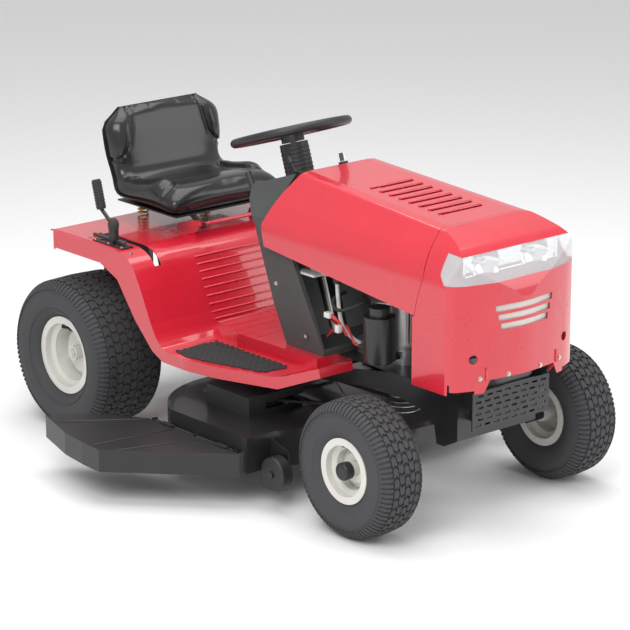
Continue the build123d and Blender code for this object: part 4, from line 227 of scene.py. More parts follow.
def hose(name: str, route: Sequence[Point], radius: float, loops: int = 10) -> bpy.types.Object:
    """Make a smooth round tube along a route held by the machine.

    Args:
        name: the piece's name.
        route: points in machine millimetres.
        radius: the tube's radius in millimetres.
        loops: steps of the tube between two points.

    Returns:
        The finished mesh object.
    """
    clear_selection()
    curve = bpy.data.curves.new(name, "CURVE")
    curve.dimensions = "3D"
    curve.resolution_u = loops
    curve.bevel_depth = radius * MM
    curve.bevel_resolution = 4
    curve.use_fill_caps = True
    spline = curve.splines.new("NURBS")
    spline.points.add(len(route) - 1)
    for point, place in zip(spline.points, route):
        point.co = (*Datum.at(*place), 1)
    spline.order_u = 3
    spline.use_endpoint_u = True
    piece = bpy.data.objects.new(name, curve)
    bpy.context.scene.collection.objects.link(piece)
    activate(piece)
    bpy.ops.object.convert(target="MESH")
    piece = named(name)
    smooth(piece, 60)
    return piece


def trace(name: str, profile: Sequence[Point]) -> bpy.types.Object:
    """Draw an open line of vertices, each extruded from the last.

    Args:
        name: the piece's name.
        profile: places in machine millimetres.

    Returns:
        The object, whose mesh is the line.
    """
    clear_selection()
    bpy.ops.mesh.primitive_plane_add(size=0.001, location=Datum.at(*profile[0]))
    piece = named(name)
    settle(piece)
    bpy.ops.object.mode_set(mode="EDIT")
    bpy.ops.mesh.select_all(action="SELECT")
    bpy.ops.mesh.merge(type="CENTER")
    for before, after in zip(profile, profile[1:]):
        step = Datum.at(*after) - Datum.at(*before)
        bpy.ops.mesh.extrude_region_move(TRANSFORM_OT_translate={"value": step})
    bpy.ops.object.mode_set(mode="OBJECT")
    return piece


def turned(
    name: str, profile: Sequence[Point], centre: Point, axis: Point, steps: int = 48
) -> bpy.types.Object:
    """Turn a traced profile once round an axis, as on a lathe.

    Args:
        name: the piece's name.
        profile: the section in machine millimetres.
        centre: a place on the axis.
        axis: the axis's direction.
        steps: faces round the piece.

    Returns:
        The finished mesh object.
    """
    piece = trace(name, profile)
    activate(piece)
    bpy.ops.object.mode_set(mode="EDIT")
    bpy.ops.mesh.select_all(action="SELECT")
    bpy.ops.mesh.spin(steps=steps, angle=math.tau, center=Datum.at(*centre), axis=axis)
    bpy.ops.mesh.select_all(action="SELECT")
    bpy.ops.mesh.remove_doubles(threshold=0.00002)
    bpy.ops.mesh.normals_make_consistent(inside=False)
    bpy.ops.object.mode_set(mode="OBJECT")
    smooth(piece)
    return piece


def merged(name: str, pieces: Iterable[bpy.types.Object]) -> bpy.types.Object:
    """Join several meshes into one piece."""
    pieces = list(pieces)
    clear_selection()
    for piece in pieces:
        piece.select_set(True)
    bpy.context.view_layer.objects.active = pieces[0]
    if len(pieces) > 1:
        bpy.ops.object.join()
    return named(name)


def flipped_if_inside_out(piece: bpy.types.Object) -> None:
    """Point a closed mesh's faces outwards."""
    activate(piece)
    bpy.ops.object.mode_set(mode="EDIT")
    bpy.ops.mesh.select_all(action="SELECT")
    bpy.ops.mesh.normals_make_consistent(inside=False)
    bpy.ops.object.mode_set(mode="OBJECT")


# ---------------------------------------------------------------------------
# Finishes
# ---------------------------------------------------------------------------
@dataclass(frozen=True)
class Finish:
    """One finish: its colour, gloss, and the small relief and wear it shows."""

    name: str
    colour: tuple[float, float, float]
    roughness: float = 0.5
    metallic: float = 0.0
    coat: float = 0.0
    grain_scale: float = 300.0
    grain_depth: float = 0.02
    tint: float = 0.10
    stretch: tuple[float, float, float] = (1, 1, 1)
    cells: bool = False
    alpha: float = 1.0
    dust: float = 0.0

    def make(self) -> bpy.types.Material:
        """Build the finish as a node material on Object coordinates.

        Returns:
            The material.
        """
        material = bpy.data.materials.new(self.name)
        material.use_nodes = True
        tree = material.node_tree
        shader = tree.nodes["Principled BSDF"]
        shader.inputs["Metallic"].default_value = self.metallic
        shader.inputs["Coat Weight"].default_value = self.coat
        shader.inputs["Coat Roughness"].default_value = 0.06
        place = tree.nodes.new("ShaderNodeTexCoord")
        turn = tree.nodes.new("ShaderNodeMapping")
        turn.inputs["Scale"].default_value = self.stretch
        tree.links.new(place.outputs["Object"], turn.inputs["Vector"])

        cloud = tree.nodes.new("ShaderNodeTexNoise")
        cloud.inputs["Scale"].default_value = 9.0
        cloud.inputs["Detail"].default_value = 6.0
        tree.links.new(turn.outputs["Vector"], cloud.inputs["Vector"])
        self._colour(tree, shader, cloud)
        self._roughness(tree, shader, cloud)
        self._relief(tree, shader, turn)
        if self.alpha < 1:
            shader.inputs["Alpha"].default_value = self.alpha
            shader.inputs["IOR"].default_value = 1.45
        return material

    def _colour(self, tree: bpy.types.NodeTree, shader: bpy.types.Node, cloud: bpy.types.Node) -> None:
        """Vary the base colour a little, and add dust where there is some."""
        shades = tree.nodes.new("ShaderNodeValToRGB")
        shades.color_ramp.elements[0].position = 0.3
        shades.color_ramp.elements[1].position = 0.7
        dark = [channel * (1 - self.tint) for channel in self.colour]
        light = [min(1.0, channel * (1 + self.tint) + self.dust * 0.12) for channel in self.colour]
        shades.color_ramp.elements[0].color = (*dark, 1)
        shades.color_ramp.elements[1].color = (*light, 1)
        tree.links.new(cloud.outputs["Fac"], shades.inputs["Fac"])
        tree.links.new(shades.outputs["Color"], shader.inputs["Base Color"])

    def _roughness(self, tree: bpy.types.NodeTree, shader: bpy.types.Node, cloud: bpy.types.Node) -> None:
        """Vary the roughness by a tenth either way."""
        spread = tree.nodes.new("ShaderNodeMapRange")
        spread.inputs["To Min"].default_value = max(0.02, self.roughness * 0.88)
        spread.inputs["To Max"].default_value = min(1.0, self.roughness * 1.12)
        tree.links.new(cloud.outputs["Fac"], spread.inputs["Value"])
        tree.links.new(spread.outputs["Result"], shader.inputs["Roughness"])

    def _relief(self, tree: bpy.types.NodeTree, shader: bpy.types.Node, turn: bpy.types.Node) -> None:
        """Add the grain as bump: cells for vinyl and moulded grain, noise for the rest."""
        if self.cells:
            grain = tree.nodes.new("ShaderNodeTexVoronoi")
            grain.feature = "DISTANCE_TO_EDGE"
            height = grain.outputs["Distance"]
        else:
            grain = tree.nodes.new("ShaderNodeTexNoise")
            grain.inputs["Detail"].default_value = 3.0
            height = grain.outputs["Fac"]
        grain.inputs["Scale"].default_value = self.grain_scale
        tree.links.new(turn.outputs["Vector"], grain.inputs["Vector"])
        bump = tree.nodes.new("ShaderNodeBump")
        bump.inputs["Strength"].default_value = self.grain_depth
        bump.inputs["Distance"].default_value = 0.001
        tree.links.new(height, bump.inputs["Height"])
        tree.links.new(bump.outputs["Normal"], shader.inputs["Normal"])


class Paint(Enum):
    """Every finish on the machine, with the record's slot that it belongs to."""

    RED = (
        "red_paint",
        Finish("red_enamel", (0.61, 0.013, 0.032), 0.28, coat=1.0, grain_scale=160, grain_depth=0.05, tint=0.04),
    )
    BLACK = ("black_paint", Finish("black_enamel", (0.016, 0.016, 0.018), 0.34, coat=0.25, grain_depth=0.08))
    CREAM = ("cream_paint", Finish("rim_enamel", (0.66, 0.645, 0.60), 0.32, coat=0.4, grain_depth=0.04, tint=0.05))
    TYRE = ("tyre_rubber", Finish("tyre_rubber", (0.043, 0.045, 0.050), 0.72, grain_scale=700, grain_depth=0.25))
    RUBBER = ("black_rubber", Finish("black_rubber", (0.020, 0.020, 0.021), 0.62, grain_scale=600, grain_depth=0.2))
    DASH = (
        "grey_plastic",
        Finish("dash_plastic", (0.060, 0.062, 0.062), 0.55, grain_scale=1100, grain_depth=0.35, cells=True),
    )
    PLASTIC = (
        "black_plastic",
        Finish("moulded_plastic", (0.020, 0.020, 0.021), 0.42, grain_scale=1000, grain_depth=0.2, cells=True),
    )
    TANK = ("tank_plastic", Finish("tank_plastic", (0.62, 0.63, 0.63), 0.4, grain_depth=0.1))
    VINYL = (
        "seat_vinyl",
        Finish("seat_vinyl", (0.013, 0.013, 0.014), 0.30, coat=0.35, grain_scale=620, grain_depth=0.35, cells=True),
    )
    STEEL = (
        "steel",
        Finish("steel", (0.45, 0.45, 0.44), 0.33, 1.0, grain_scale=60, grain_depth=0.15, stretch=(1, 1, 14)),
    )
    ZINC = ("steel", Finish("zinc_plate", (0.62, 0.60, 0.54), 0.28, 1.0, grain_scale=400, grain_depth=0.1))
    SPRING = ("spring_brass", Finish("spring_gold", (0.60, 0.40, 0.14), 0.30, 1.0, grain_depth=0.05))
    ALLOY = ("cast_alloy", Finish("cast_alloy", (0.42, 0.43, 0.44), 0.45, 0.9, grain_scale=500, grain_depth=0.4))
    CAST = ("cast_grey", Finish("cast_grey", (0.10, 0.10, 0.105), 0.6, 0.4, grain_scale=450, grain_depth=0.5))
    WIRE = ("wire_red", Finish("wire_red", (0.42, 0.012, 0.012), 0.4, grain_depth=0.05))
    LENS = (
        "lens_clear",
        Finish("lens_clear", (0.60, 0.62, 0.65), 0.04, grain_scale=40, grain_depth=0.02, tint=0.01, alpha=0.13),
    )
    MIRROR = ("reflector_silver", Finish("reflector", (0.85, 0.86, 0.88), 0.10, 1.0, grain_depth=0.01, tint=0.03))

    def __init__(self, slot: str, finish: Finish) -> None:
        """Keep the slot and the finish.

        Args:
            slot: the record's material slot.
            finish: how the surface looks.
        """
        self.slot = slot
        self.finish = finish

    @property
    def material(self) -> bpy.types.Material:
        """Return the finish's material, made the first time it is asked for."""
        return bpy.data.materials.get(self.finish.name) or self.finish.make()


def dress(piece: bpy.types.Object, paint: Paint, body: str) -> bpy.types.Object:
    """Give a new piece its finish and the body it rides on.

    Args:
        piece: the finished mesh.
        paint: its finish.
        body: the moving body's name.

    Returns:
        The same object.
    """
    piece.data.materials.clear()
    piece.data.materials.append(paint.material)
    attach(piece, body)
    log.info("piece %s rides on %s", piece.name, body)
    return piece


# ---------------------------------------------------------------------------
# Wheels
# ---------------------------------------------------------------------------
@dataclass
class Wheel:
    """Tread, valve and centre of one wheel."""

    end: str
    side: Side
    x: float
    track: float
    radius: float
    half_width: float
    pitches: int
    rows: int
    valve_reach: float
    body: str = field(init=False)

    def __post_init__(self) -> None:
        """Work out the body that the wheel's pieces ride on."""
        self.body = f"{self.end}_wheel_{self.side.value}"

    def profile(self, across: float) -> tuple[float, float]:
        """Return the carcass's radius and its outward slope at a distance across the tread.

        Args:
            across: distance from the wheel's middle in millimetres.

        Returns:
            The radius in millimetres and the angle in radians that the surface leans outward.
        """
        flat = self.half_width - 32
        distance = abs(across)
        if distance <= flat:
            lean = math.atan(3 / flat)
            radius = self.radius - 3 * distance / flat
        else:
            turn = min(1.0, (distance - flat) / 26)
            lean = math.radians(8 + 62 * turn)
            radius = self.radius - 3 - 22 * turn**1.8
        return radius, math.copysign(lean, across)

    def place(self, angle: float, across: float, proud: float) -> Vector:
        """Return a place on the tread.

        Args:
            angle: radians round the axle.
            across: millimetres from the wheel's middle.
            proud: height above the carcass in millimetres.

        Returns:
            The place in the frame.
        """
        radius, lean = self.profile(across)
        reach = radius + proud * math.cos(lean)
        y = self.side.sign * self.track + across + proud * math.sin(lean)
        return Datum.at(
            self.x + reach * math.sin(angle), y, self.radius + reach * math.cos(angle)
        )

    def block(self, near: float, far: float, start: float, width: float, kink: float) -> bpy.types.Object:
        """Make one bent tread block.

        Args:
            near: one edge across the tread in millimetres.
            far: the other edge.
            start: radians at the block's middle.
            width: radians from the middle to its edge.
            kink: radians that its waist is pushed round the tyre.

        Returns:
            The block.
        """
        clear_selection()
        bpy.ops.mesh.primitive_cube_add(size=1, location=(0, 0, 0))
        piece = named("block")
        bpy.ops.object.mode_set(mode="EDIT")
        bpy.ops.mesh.select_all(action="SELECT")
        bpy.ops.mesh.bisect(plane_co=(0, 0, 0), plane_no=(0, 1, 0))
        bpy.ops.object.mode_set(mode="OBJECT")
        for vertex in piece.data.vertices:
            u, v, w = vertex.co
            top = w > 0
            across = (near + far) / 2 + v * (far - near)
            bend = kink * (1 - 2 * abs(v))
            angle = start + 2 * u * width * (0.86 if top else 1.0) + bend
            vertex.co = self.place(angle, across, LUG_HEIGHT if top else -1.0)
        return piece

    def tread(self) -> None:
        """Make one pitch of blocks and copy it round the carcass."""
        pitch = math.tau / self.pitches
        flat = self.half_width - 30
        row_width = 2 * flat / self.rows
        column = []
        for row in range(self.rows):
            low = -flat + row * row_width
            way = 1 if row % 2 else -1
            column.append(
                self.block(low + 1.6, low + row_width - 1.6, way * pitch / 4, pitch * 0.41, way * pitch * 0.22)
            )
        for edge in (-1, 1):
            for half_pitch in (0, 1):
                column.append(
                    self.block(
                        edge * (flat + 2),
                        edge * (self.half_width - 7),
                        pitch * (half_pitch / 2 - 0.25 * edge),
                        pitch * 0.17,
                        0.0,
                    )
                )
        piece = merged(f"{self.end}_tread_{self.side.value}", column)
        hub = Datum.at(self.x, 0, self.radius)
        turner = bpy.data.objects.new("turner", None)
        bpy.context.scene.collection.objects.link(turner)
        turner.matrix_world = (
            Matrix.Translation(hub) @ Matrix.Rotation(pitch, 4, "Y") @ Matrix.Translation(-hub)
        )
        bpy.context.view_layer.update()
        activate(piece)
        copies = piece.modifiers.new("round the carcass", "ARRAY")
        copies.use_relative_offset = False
        copies.use_object_offset = True
        copies.offset_object = turner
        copies.count = self.pitches
        bpy.ops.object.modifier_apply(modifier=copies.name)
        bpy.data.objects.remove(turner)
        flipped_if_inside_out(piece)
        dress(piece, Paint.TYRE, self.body)

    def sidewall_rings(self) -> None:
        """Raise two thin rings on the outer side wall."""
        sign = self.side.sign
        face = sign * (self.track + self.half_width)
        middle = (self.radius + self.rim_radius) / 2
        for index, (radius, depth) in enumerate(((middle + 16, 3.4), (middle - 26, 5.6))):
            section = [
                (self.x, face - sign * (depth + 2), self.radius + radius - 2.4),
                (self.x, face - sign * (depth - 1.2), self.radius + radius - 1),
                (self.x, face - sign * (depth - 1.2), self.radius + radius + 1),
                (self.x, face - sign * (depth + 2), self.radius + radius + 2.4),
            ]
            ring = turned(
                f"{self.end}_ring_{self.side.value}_{index}",
                [*section, section[0]],
                (self.x, face, self.radius),
                (0, 1, 0),
                96,
            )
            dress(ring, Paint.TYRE, self.body)

    @property
    def rim_radius(self) -> float:
        """Return the rim flange's radius in millimetres."""
        low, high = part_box(f"{self.end}_rim_{self.side.value}")
        return (high.z - low.z) / 2 / MM

    def valve(self) -> None:
        """Stand the rubber valve and its cap in the dish."""
        sign = self.side.sign
        outer = sign * (self.track + self.valve_reach)
        angle = math.radians(-28)
        up = self.rim_radius * 0.62
        x = self.x + up * math.sin(angle)
        z = self.radius + up * math.cos(angle)
        lean = 10
        stem = bar(f"{self.end}_valve_{self.side.value}", (x, outer - sign * 26, z), (x, outer, z + lean), 5)
        cap = bar("cap", (x, outer - sign * 1, z + lean), (x, outer + sign * 9, z + lean + 4), 6.4, 12, 1.5)
        base = bar("base", (x, outer - sign * 32, z - 2), (x, outer - sign * 20, z + 2), 8.5)
        dress(merged(f"{self.end}_valve_{self.side.value}", [stem, cap, base]), Paint.RUBBER, self.body)

    def centre_cap(self) -> None:
        """Close the front hub with its domed black cap."""
        sign = self.side.sign
        hub = self.track + 61
        dome = [
            (hub - 20, 24.5),
            (hub + 2, 25.5),
            (hub + 6, 24),
            (hub + 9, 19),
            (hub + 9.6, 15),
            (hub + 8.4, 14.2),
            (hub + 8.4, 0.01),
        ]
        profile = [(self.x, sign * y, self.radius + r) for y, r in dome]
        cap = turned(
            f"front_cap_{self.side.value}", profile, (self.x, sign * hub, self.radius), (0, 1, 0)
        )
        dress(cap, Paint.PLASTIC, self.body)

    def axle_end(self) -> None:
        """Put the washer and the clip on the rear axle's end."""
        sign = self.side.sign
        low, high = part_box(f"rear_axle_shaft_{self.side.value}")
        tip = (high.y if sign > 0 else low.y) - Datum.origin.y
        tip = tip / MM
        washer = bar("washer", (0, tip - sign * 14, self.radius), (0, tip - sign * 11, self.radius), 17)
        clip = bar("clip", (0, tip - sign * 11, self.radius), (0, tip - sign * 8, self.radius), 13, 6)
        dress(merged(f"rear_washer_{self.side.value}", [washer, clip]), Paint.ZINC, self.body)

    def build(self) -> None:
        """Make every piece of the wheel."""
        self.tread()
        self.sidewall_rings()
        self.valve()
        if self.end == "front":
            self.centre_cap()
        else:
            self.axle_end()


# ---------------------------------------------------------------------------
# Seat
# ---------------------------------------------------------------------------
def ease(value: float, low: float, high: float) -> float:
    """Return 0 below low, 1 above high, and a smooth rise between."""
    part = min(1.0, max(0.0, (value - low) / (high - low)))
    return part * part * (3 - 2 * part)


def rounded_square(u: float, v: float, power: float) -> tuple[float, float]:
    """Pull a square's corners in to a rounded outline.

    Args:
        u: first place from -1 to 1.
        v: second place from -1 to 1.
        power: how square the outline stays.

    Returns:
        The two places, moved.
    """
    reach = max(abs(u), abs(v))
    if reach < 1e-6:
        return u, v
    round_reach = (abs(u) ** power + abs(v) ** power) ** (1 / power)
    return u * reach / round_reach, v * reach / round_reach


def spline(points: Sequence[tuple[float, float]], part: float) -> tuple[float, float]:
    """Return a place on a smooth curve through points.

    Args:
        points: the places that the curve passes through.
        part: how far along, from 0 to 1.

    Returns:
        The place.
    """
    last = len(points) - 1
    along = min(last - 1e-6, max(0.0, part * last))
    step = int(along)
    t = along - step
    around = [points[min(last, max(0, step + shift))] for shift in (-1, 0, 1, 2)]
    place = []
    for axis in (0, 1):
        a, b, c, d = (point[axis] for point in around)
        place.append(
            0.5 * (2 * b + (c - a) * t + (2 * a - 5 * b + 4 * c - d) * t**2 + (3 * b - a - 3 * c + d) * t**3)
        )
    return place[0], place[1]


def seam_place(points: Sequence[tuple[float, float]], along: float) -> float:
    """Return a seam's distance from the middle at a station along it."""
    for (start, near), (end, far) in zip(points, points[1:]):
        if start <= along <= end:
            return near + (far - near) * (along - start) / (end - start)
    return points[-1][1] if along > points[-1][0] else points[0][1]


def distance_to(points: Sequence[tuple[float, float]], along: float, aside: float) -> float:
    """Return the distance from a place to a line through points."""
    nearest = 1e9
    spot = Vector((along, aside))
    for start, end in zip(points, points[1:]):
        first, run = Vector(start), Vector(end) - Vector(start)
        part = min(1.0, max(0.0, (spot - first).dot(run) / run.length_squared))
        nearest = min(nearest, (spot - first - run * part).length)
    return nearest


@dataclass
class Seat:
    """The one-piece vinyl bucket with its bolsters, seams, shell and springs."""

    half_width: float = 216.0
    sim_frames: int = 14
    cap: float = 6.0
    body: str = "seat"
    top: tuple[tuple[float, float], ...] = (
        (226, 676), (238, 702), (226, 726), (190, 738), (135, 735), (75, 722), (20, 714), (-18, 722),
        (-44, 752), (-56, 800), (-66, 850), (-80, 900), (-98, 936),
    )  # fmt: skip
    under: tuple[tuple[float, float], ...] = (
        (214, 664), (200, 661), (160, 660), (100, 660), (40, 660), (-20, 661), (-60, 666), (-88, 688),
        (-104, 720), (-114, 770), (-122, 830), (-130, 885), (-126, 926),
    )  # fmt: skip
    base_seam: tuple[tuple[float, float], ...] = (
        (-14, 158), (40, 150), (100, 142), (136, 140), (158, 152), (170, 176), (174, 216),
    )  # fmt: skip
    back_seam: tuple[tuple[float, float], ...] = (
        (772, 214), (784, 190), (800, 166), (824, 148), (860, 138), (900, 134), (936, 134),
    )  # fmt: skip

    def width(self, part: float) -> float:
        """Return the bucket's half width along it, narrow at the waist and rounded at both ends."""
        waist = 1 - 0.07 * math.exp(-(((part - 0.66) / 0.10) ** 2))
        front = 1 - 0.16 * (1 - ease(part, 0.0, 0.17)) ** 2
        crown = 1 - 0.30 * ease(part, 0.86, 1.0) ** 1.6
        return self.half_width * waist * front * crown

    def shape(self, u: float, v: float, w: float) -> Point:
        """Return the bucket's surface for a place on its block.

        Args:
            u: from the front lip, -1, to the back's crown, 1.
            v: across, from -1 to 1.
            w: from the shell, -1, to the sitter, 1.

        Returns:
            The place in machine millimetres.
        """
        part = (u + 1) / 2
        v_round, w_round = rounded_square(v, w, 3.4)
        top_x, top_z = spline(self.top, part)
        under_x, under_z = spline(self.under, part)
        y = v_round * self.width(part)
        share = (w_round + 1) / 2
        x = under_x + (top_x - under_x) * share
        z = under_z + (top_z - under_z) * share
        upper = max(0.0, w_round)
        if part < 0.62:
            rise = 24 * ease(abs(y), seam_place(self.base_seam, top_x) - 4, seam_place(self.base_seam, top_x) + 22)
            fade = ease(-top_x, -176, -146) * ease(top_x, -40, 10)
            z += rise * fade * upper
        else:
            seam = seam_place(self.back_seam, top_z)
            rise = 22 * ease(abs(y), seam - 3, seam + 22) * ease(top_z, 770, 800) * (1 - ease(top_z, 905, 945))
            x += rise * upper
        return (x, y, z)

    def pad(self, name: str, cuts: int, reach: float) -> bpy.types.Object:
        """Make a closed pad by giving every point of a fine block its place on the bucket.

        Args:
            name: the piece's name.
            cuts: subdivisions of the block.
            reach: the highest w that the pad's block takes.

        Returns:
            The pad.
        """
        clear_selection()
        bpy.ops.mesh.primitive_cube_add(size=2, location=(0, 0, 0))
        piece = named(name)
        bpy.ops.object.mode_set(mode="EDIT")
        bpy.ops.mesh.select_all(action="SELECT")
        bpy.ops.mesh.subdivide(number_cuts=cuts)
        bpy.ops.object.mode_set(mode="OBJECT")
        for vertex in piece.data.vertices:
            u, v, w = vertex.co
            vertex.co = Datum.at(*self.shape(u, v, -1 + (w + 1) * (reach + 1) / 2))
        flipped_if_inside_out(piece)
        return piece

    def inflate(self, piece: bpy.types.Object) -> None:
        """Swell the pad with a short cloth simulation, then keep every point within a cap."""
        activate(piece)
        before = [vertex.co.copy() for vertex in piece.data.vertices]
        cloth = piece.modifiers.new("swell", "CLOTH")
        cloth.settings.use_pressure = True
        cloth.settings.uniform_pressure_force = 4
        cloth.settings.effector_weights.gravity = 0
        scene = bpy.context.scene
        for frame_number in range(1, self.sim_frames + 1):
            scene.frame_set(frame_number)
        bpy.ops.object.modifier_apply(modifier=cloth.name)
        for vertex, start in zip(piece.data.vertices, before):
            move = vertex.co - start
            if move.length > self.cap * MM:
                vertex.co = start + move.normalized() * self.cap * MM
        scene.frame_set(1)

    def seam_gap(self, place: Vector) -> float:
        """Return the distance in millimetres from a place on the bucket to its nearest seam."""
        if place.z > 765 and place.x < -40:
            return distance_to(self.back_seam, place.z, abs(place.y))
        if place.z > 700 and -30 < place.x < 185:
            return distance_to(self.base_seam, place.x, abs(place.y))
        return 99.0

    def sew(self, piece: bpy.types.Object) -> None:
        """Press the seams into the pad after it has swelled, with a raised welt beside each."""
        activate(piece)
        finer = piece.modifiers.new("finer", "SUBSURF")
        finer.levels = finer.render_levels = 2
        bpy.ops.object.modifier_apply(modifier=finer.name)
        normals = [vertex.normal.copy() for vertex in piece.data.vertices]
        for vertex, normal in zip(piece.data.vertices, normals):
            gap = self.seam_gap((vertex.co - Datum.origin) / MM)
            press = 5.5 * math.exp(-((gap / 4.5) ** 2)) - 1.6 * math.exp(-(((gap - 9.0) / 3.0) ** 2))
            vertex.co -= normal * press * MM
        smooth(piece, 180)

    def cushions(self) -> None:
        """Make the bucket, which stands for the plain cushion, and its textured shell below."""
        bucket = self.pad("seat_bucket", 30, 1.0)
        self.inflate(bucket)
        self.sew(bucket)
        dress(bucket, Paint.VINYL, self.body)
        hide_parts("seat_cushion")
        shell = self.pad("seat_shell", 24, -0.34)
        for vertex in shell.data.vertices:
            place = (vertex.co - Datum.origin) / MM
            vertex.co = Datum.at(40 + (place.x - 40) * 1.012, place.y * 1.018, place.z - 1.0)
        smooth(shell, 60)
        dress(shell, Paint.PLASTIC, self.body)

    def springs(self) -> None:
        """Wind the two coil springs and stand them on their cups."""
        low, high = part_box("seat_springs")
        base = (low - Datum.origin) / MM
        crest = (high - Datum.origin) / MM
        radius = (crest.x - base.x) / 2 - 2.6
        for side in Side:
            centre_y = side.sign * (crest.y - radius - 2.6)
            turns, per_turn = 5, 16
            coil = []
            for step in range(turns * per_turn + 1):
                angle = math.tau * step / per_turn
                z = base.z + 2.6 + (crest.z - base.z - 5.2) * step / (turns * per_turn)
                coil.append(
                    ((base.x + crest.x) / 2 + radius * math.cos(angle), centre_y + radius * math.sin(angle), z)
                )
            spring = hose(f"seat_spring_{side.value}", coil, 2.8, 2)
            dress(spring, Paint.SPRING, self.body)
            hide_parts("seat_springs")

    def build(self) -> None:
        """Make every piece of the seat."""
        self.cushions()
        self.springs()


# ---------------------------------------------------------------------------
# Body panels, dash and controls: all ride on the chassis unless they say otherwise
# ---------------------------------------------------------------------------
def screw(name: str, place: Point, facing: Point, paint: Paint, body: str, radius: float = 6.0) -> None:
    """Set a hexagon-headed screw with its washer on a face.

    Args:
        name: the piece's name.
        place: where its washer meets the face, in machine millimetres.
        facing: unit direction that the head points.
        paint: its finish.
        body: the body it rides on.
        radius: the head's radius in millimetres.
    """
    out = [
        tuple(p + d * facing[axis] for axis, p in enumerate(place)) for d in (-1.0, 1.2, 1.2 + radius * 0.6)
    ]
    washer = bar("washer", out[0], out[1], radius * 1.35, 20, 0.4)
    head = bar("head", out[1], out[2], radius, 6, 0.6)
    dress(merged(name, [washer, head]), paint, body)


def top_line(points: Sequence[tuple[float, float]], x: float) -> float:
    """Return the height of a side profile at a station, between its points."""
    for (x0, z0), (x1, z1) in zip(points, points[1:]):
        if x0 <= x <= x1:
            return z0 + (z1 - z0) * (x - x0) / (x1 - x0)
    return points[-1][1]


@dataclass
class FenderBody:
    """Ribs, pads, edge rolls and screws on the one-piece fender and footboards."""

    body: str = "chassis"
    apron: tuple[tuple[float, float], ...] = ((285, 588), (315, 562), (350, 500), (395, 410), (420, 370))
    rib_half: float = 205.0

    def ribs(self) -> None:
        """Lay the pressed ribs across the apron under the seat."""
        ribs = []
        for step in range(9):
            x = 318 + step * 11.5
            z = top_line(self.apron, x)
            ribs.append(
                bar("rib", (x, -self.rib_half, z), (x, self.rib_half, z), 3.4, 16, 2.0)
            )
        dress(merged("apron_ribs", ribs), Paint.RED, self.body)

    def pads(self) -> None:
        """Cover each footboard with a raised diamond lattice."""
        for side in Side:
            low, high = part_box("foot_pads")
            top = (high.z - Datum.origin.z) / MM
            inner, outer = 252.0, 404.0
            rear, front = (low.x - Datum.origin.x) / MM + 8, (high.x - Datum.origin.x) / MM - 8
            bars = []
            step = 24.0
            count = int((front - rear) / step)
            for index in range(-6, count):
                x = rear + index * step
                for way in (0, 1):
                    start_x, end_x = (x, x + 152) if way else (x + 152, x)
                    a, b = self._clip((start_x, inner), (end_x, outer), rear, front)
                    if a is None:
                        continue
                    bars.append(
                        bar("tread", (a[0], side.sign * a[1], top), (b[0], side.sign * b[1], top), 2.4, 6, 0)
                    )
            dress(merged(f"pad_lattice_{side.value}", bars), Paint.RUBBER, self.body)

    def _clip(
        self, a: tuple[float, float], b: tuple[float, float], rear: float, front: float
    ) -> tuple[tuple[float, float] | None, tuple[float, float] | None]:
        """Cut a line in plan to the pad's rear and front edges and its slanted outer edge."""
        spots = []
        for part in range(41):
            t = part / 40
            x = a[0] + (b[0] - a[0]) * t
            y = a[1] + (b[1] - a[1]) * t
            outer = 404 - max(0.0, (x - 600)) * 0.30
            if rear <= x <= front and y <= outer:
                spots.append((x, y))
        if len(spots) < 3:
            return None, None
        return spots[0], spots[-1]

    def edge_roll(self) -> None:
        """Roll the side edges of the seat deck."""
        for side in Side:
            y = side.sign * 428
            route = [(-92, y, 596), (-80, y, 600), (80, y, 601), (238, y, 600)]
            dress(hose(f"deck_roll_{side.value}", route, 3.0, 8), Paint.RED, self.body)

    def build(self) -> None:
        """Make every piece of the fender body."""
        self.ribs()
        self.pads()
        self.edge_roll()
        for index, (x, y) in enumerate(((70, -404), (268, -404), (70, 404), (268, 404))):
            screw(f"fender_screw_{index}", (x, y, top_line(((-80, 600), (240, 600), (285, 588)), x)),
                  (0, 0, 1), Paint.ZINC, self.body, 5)


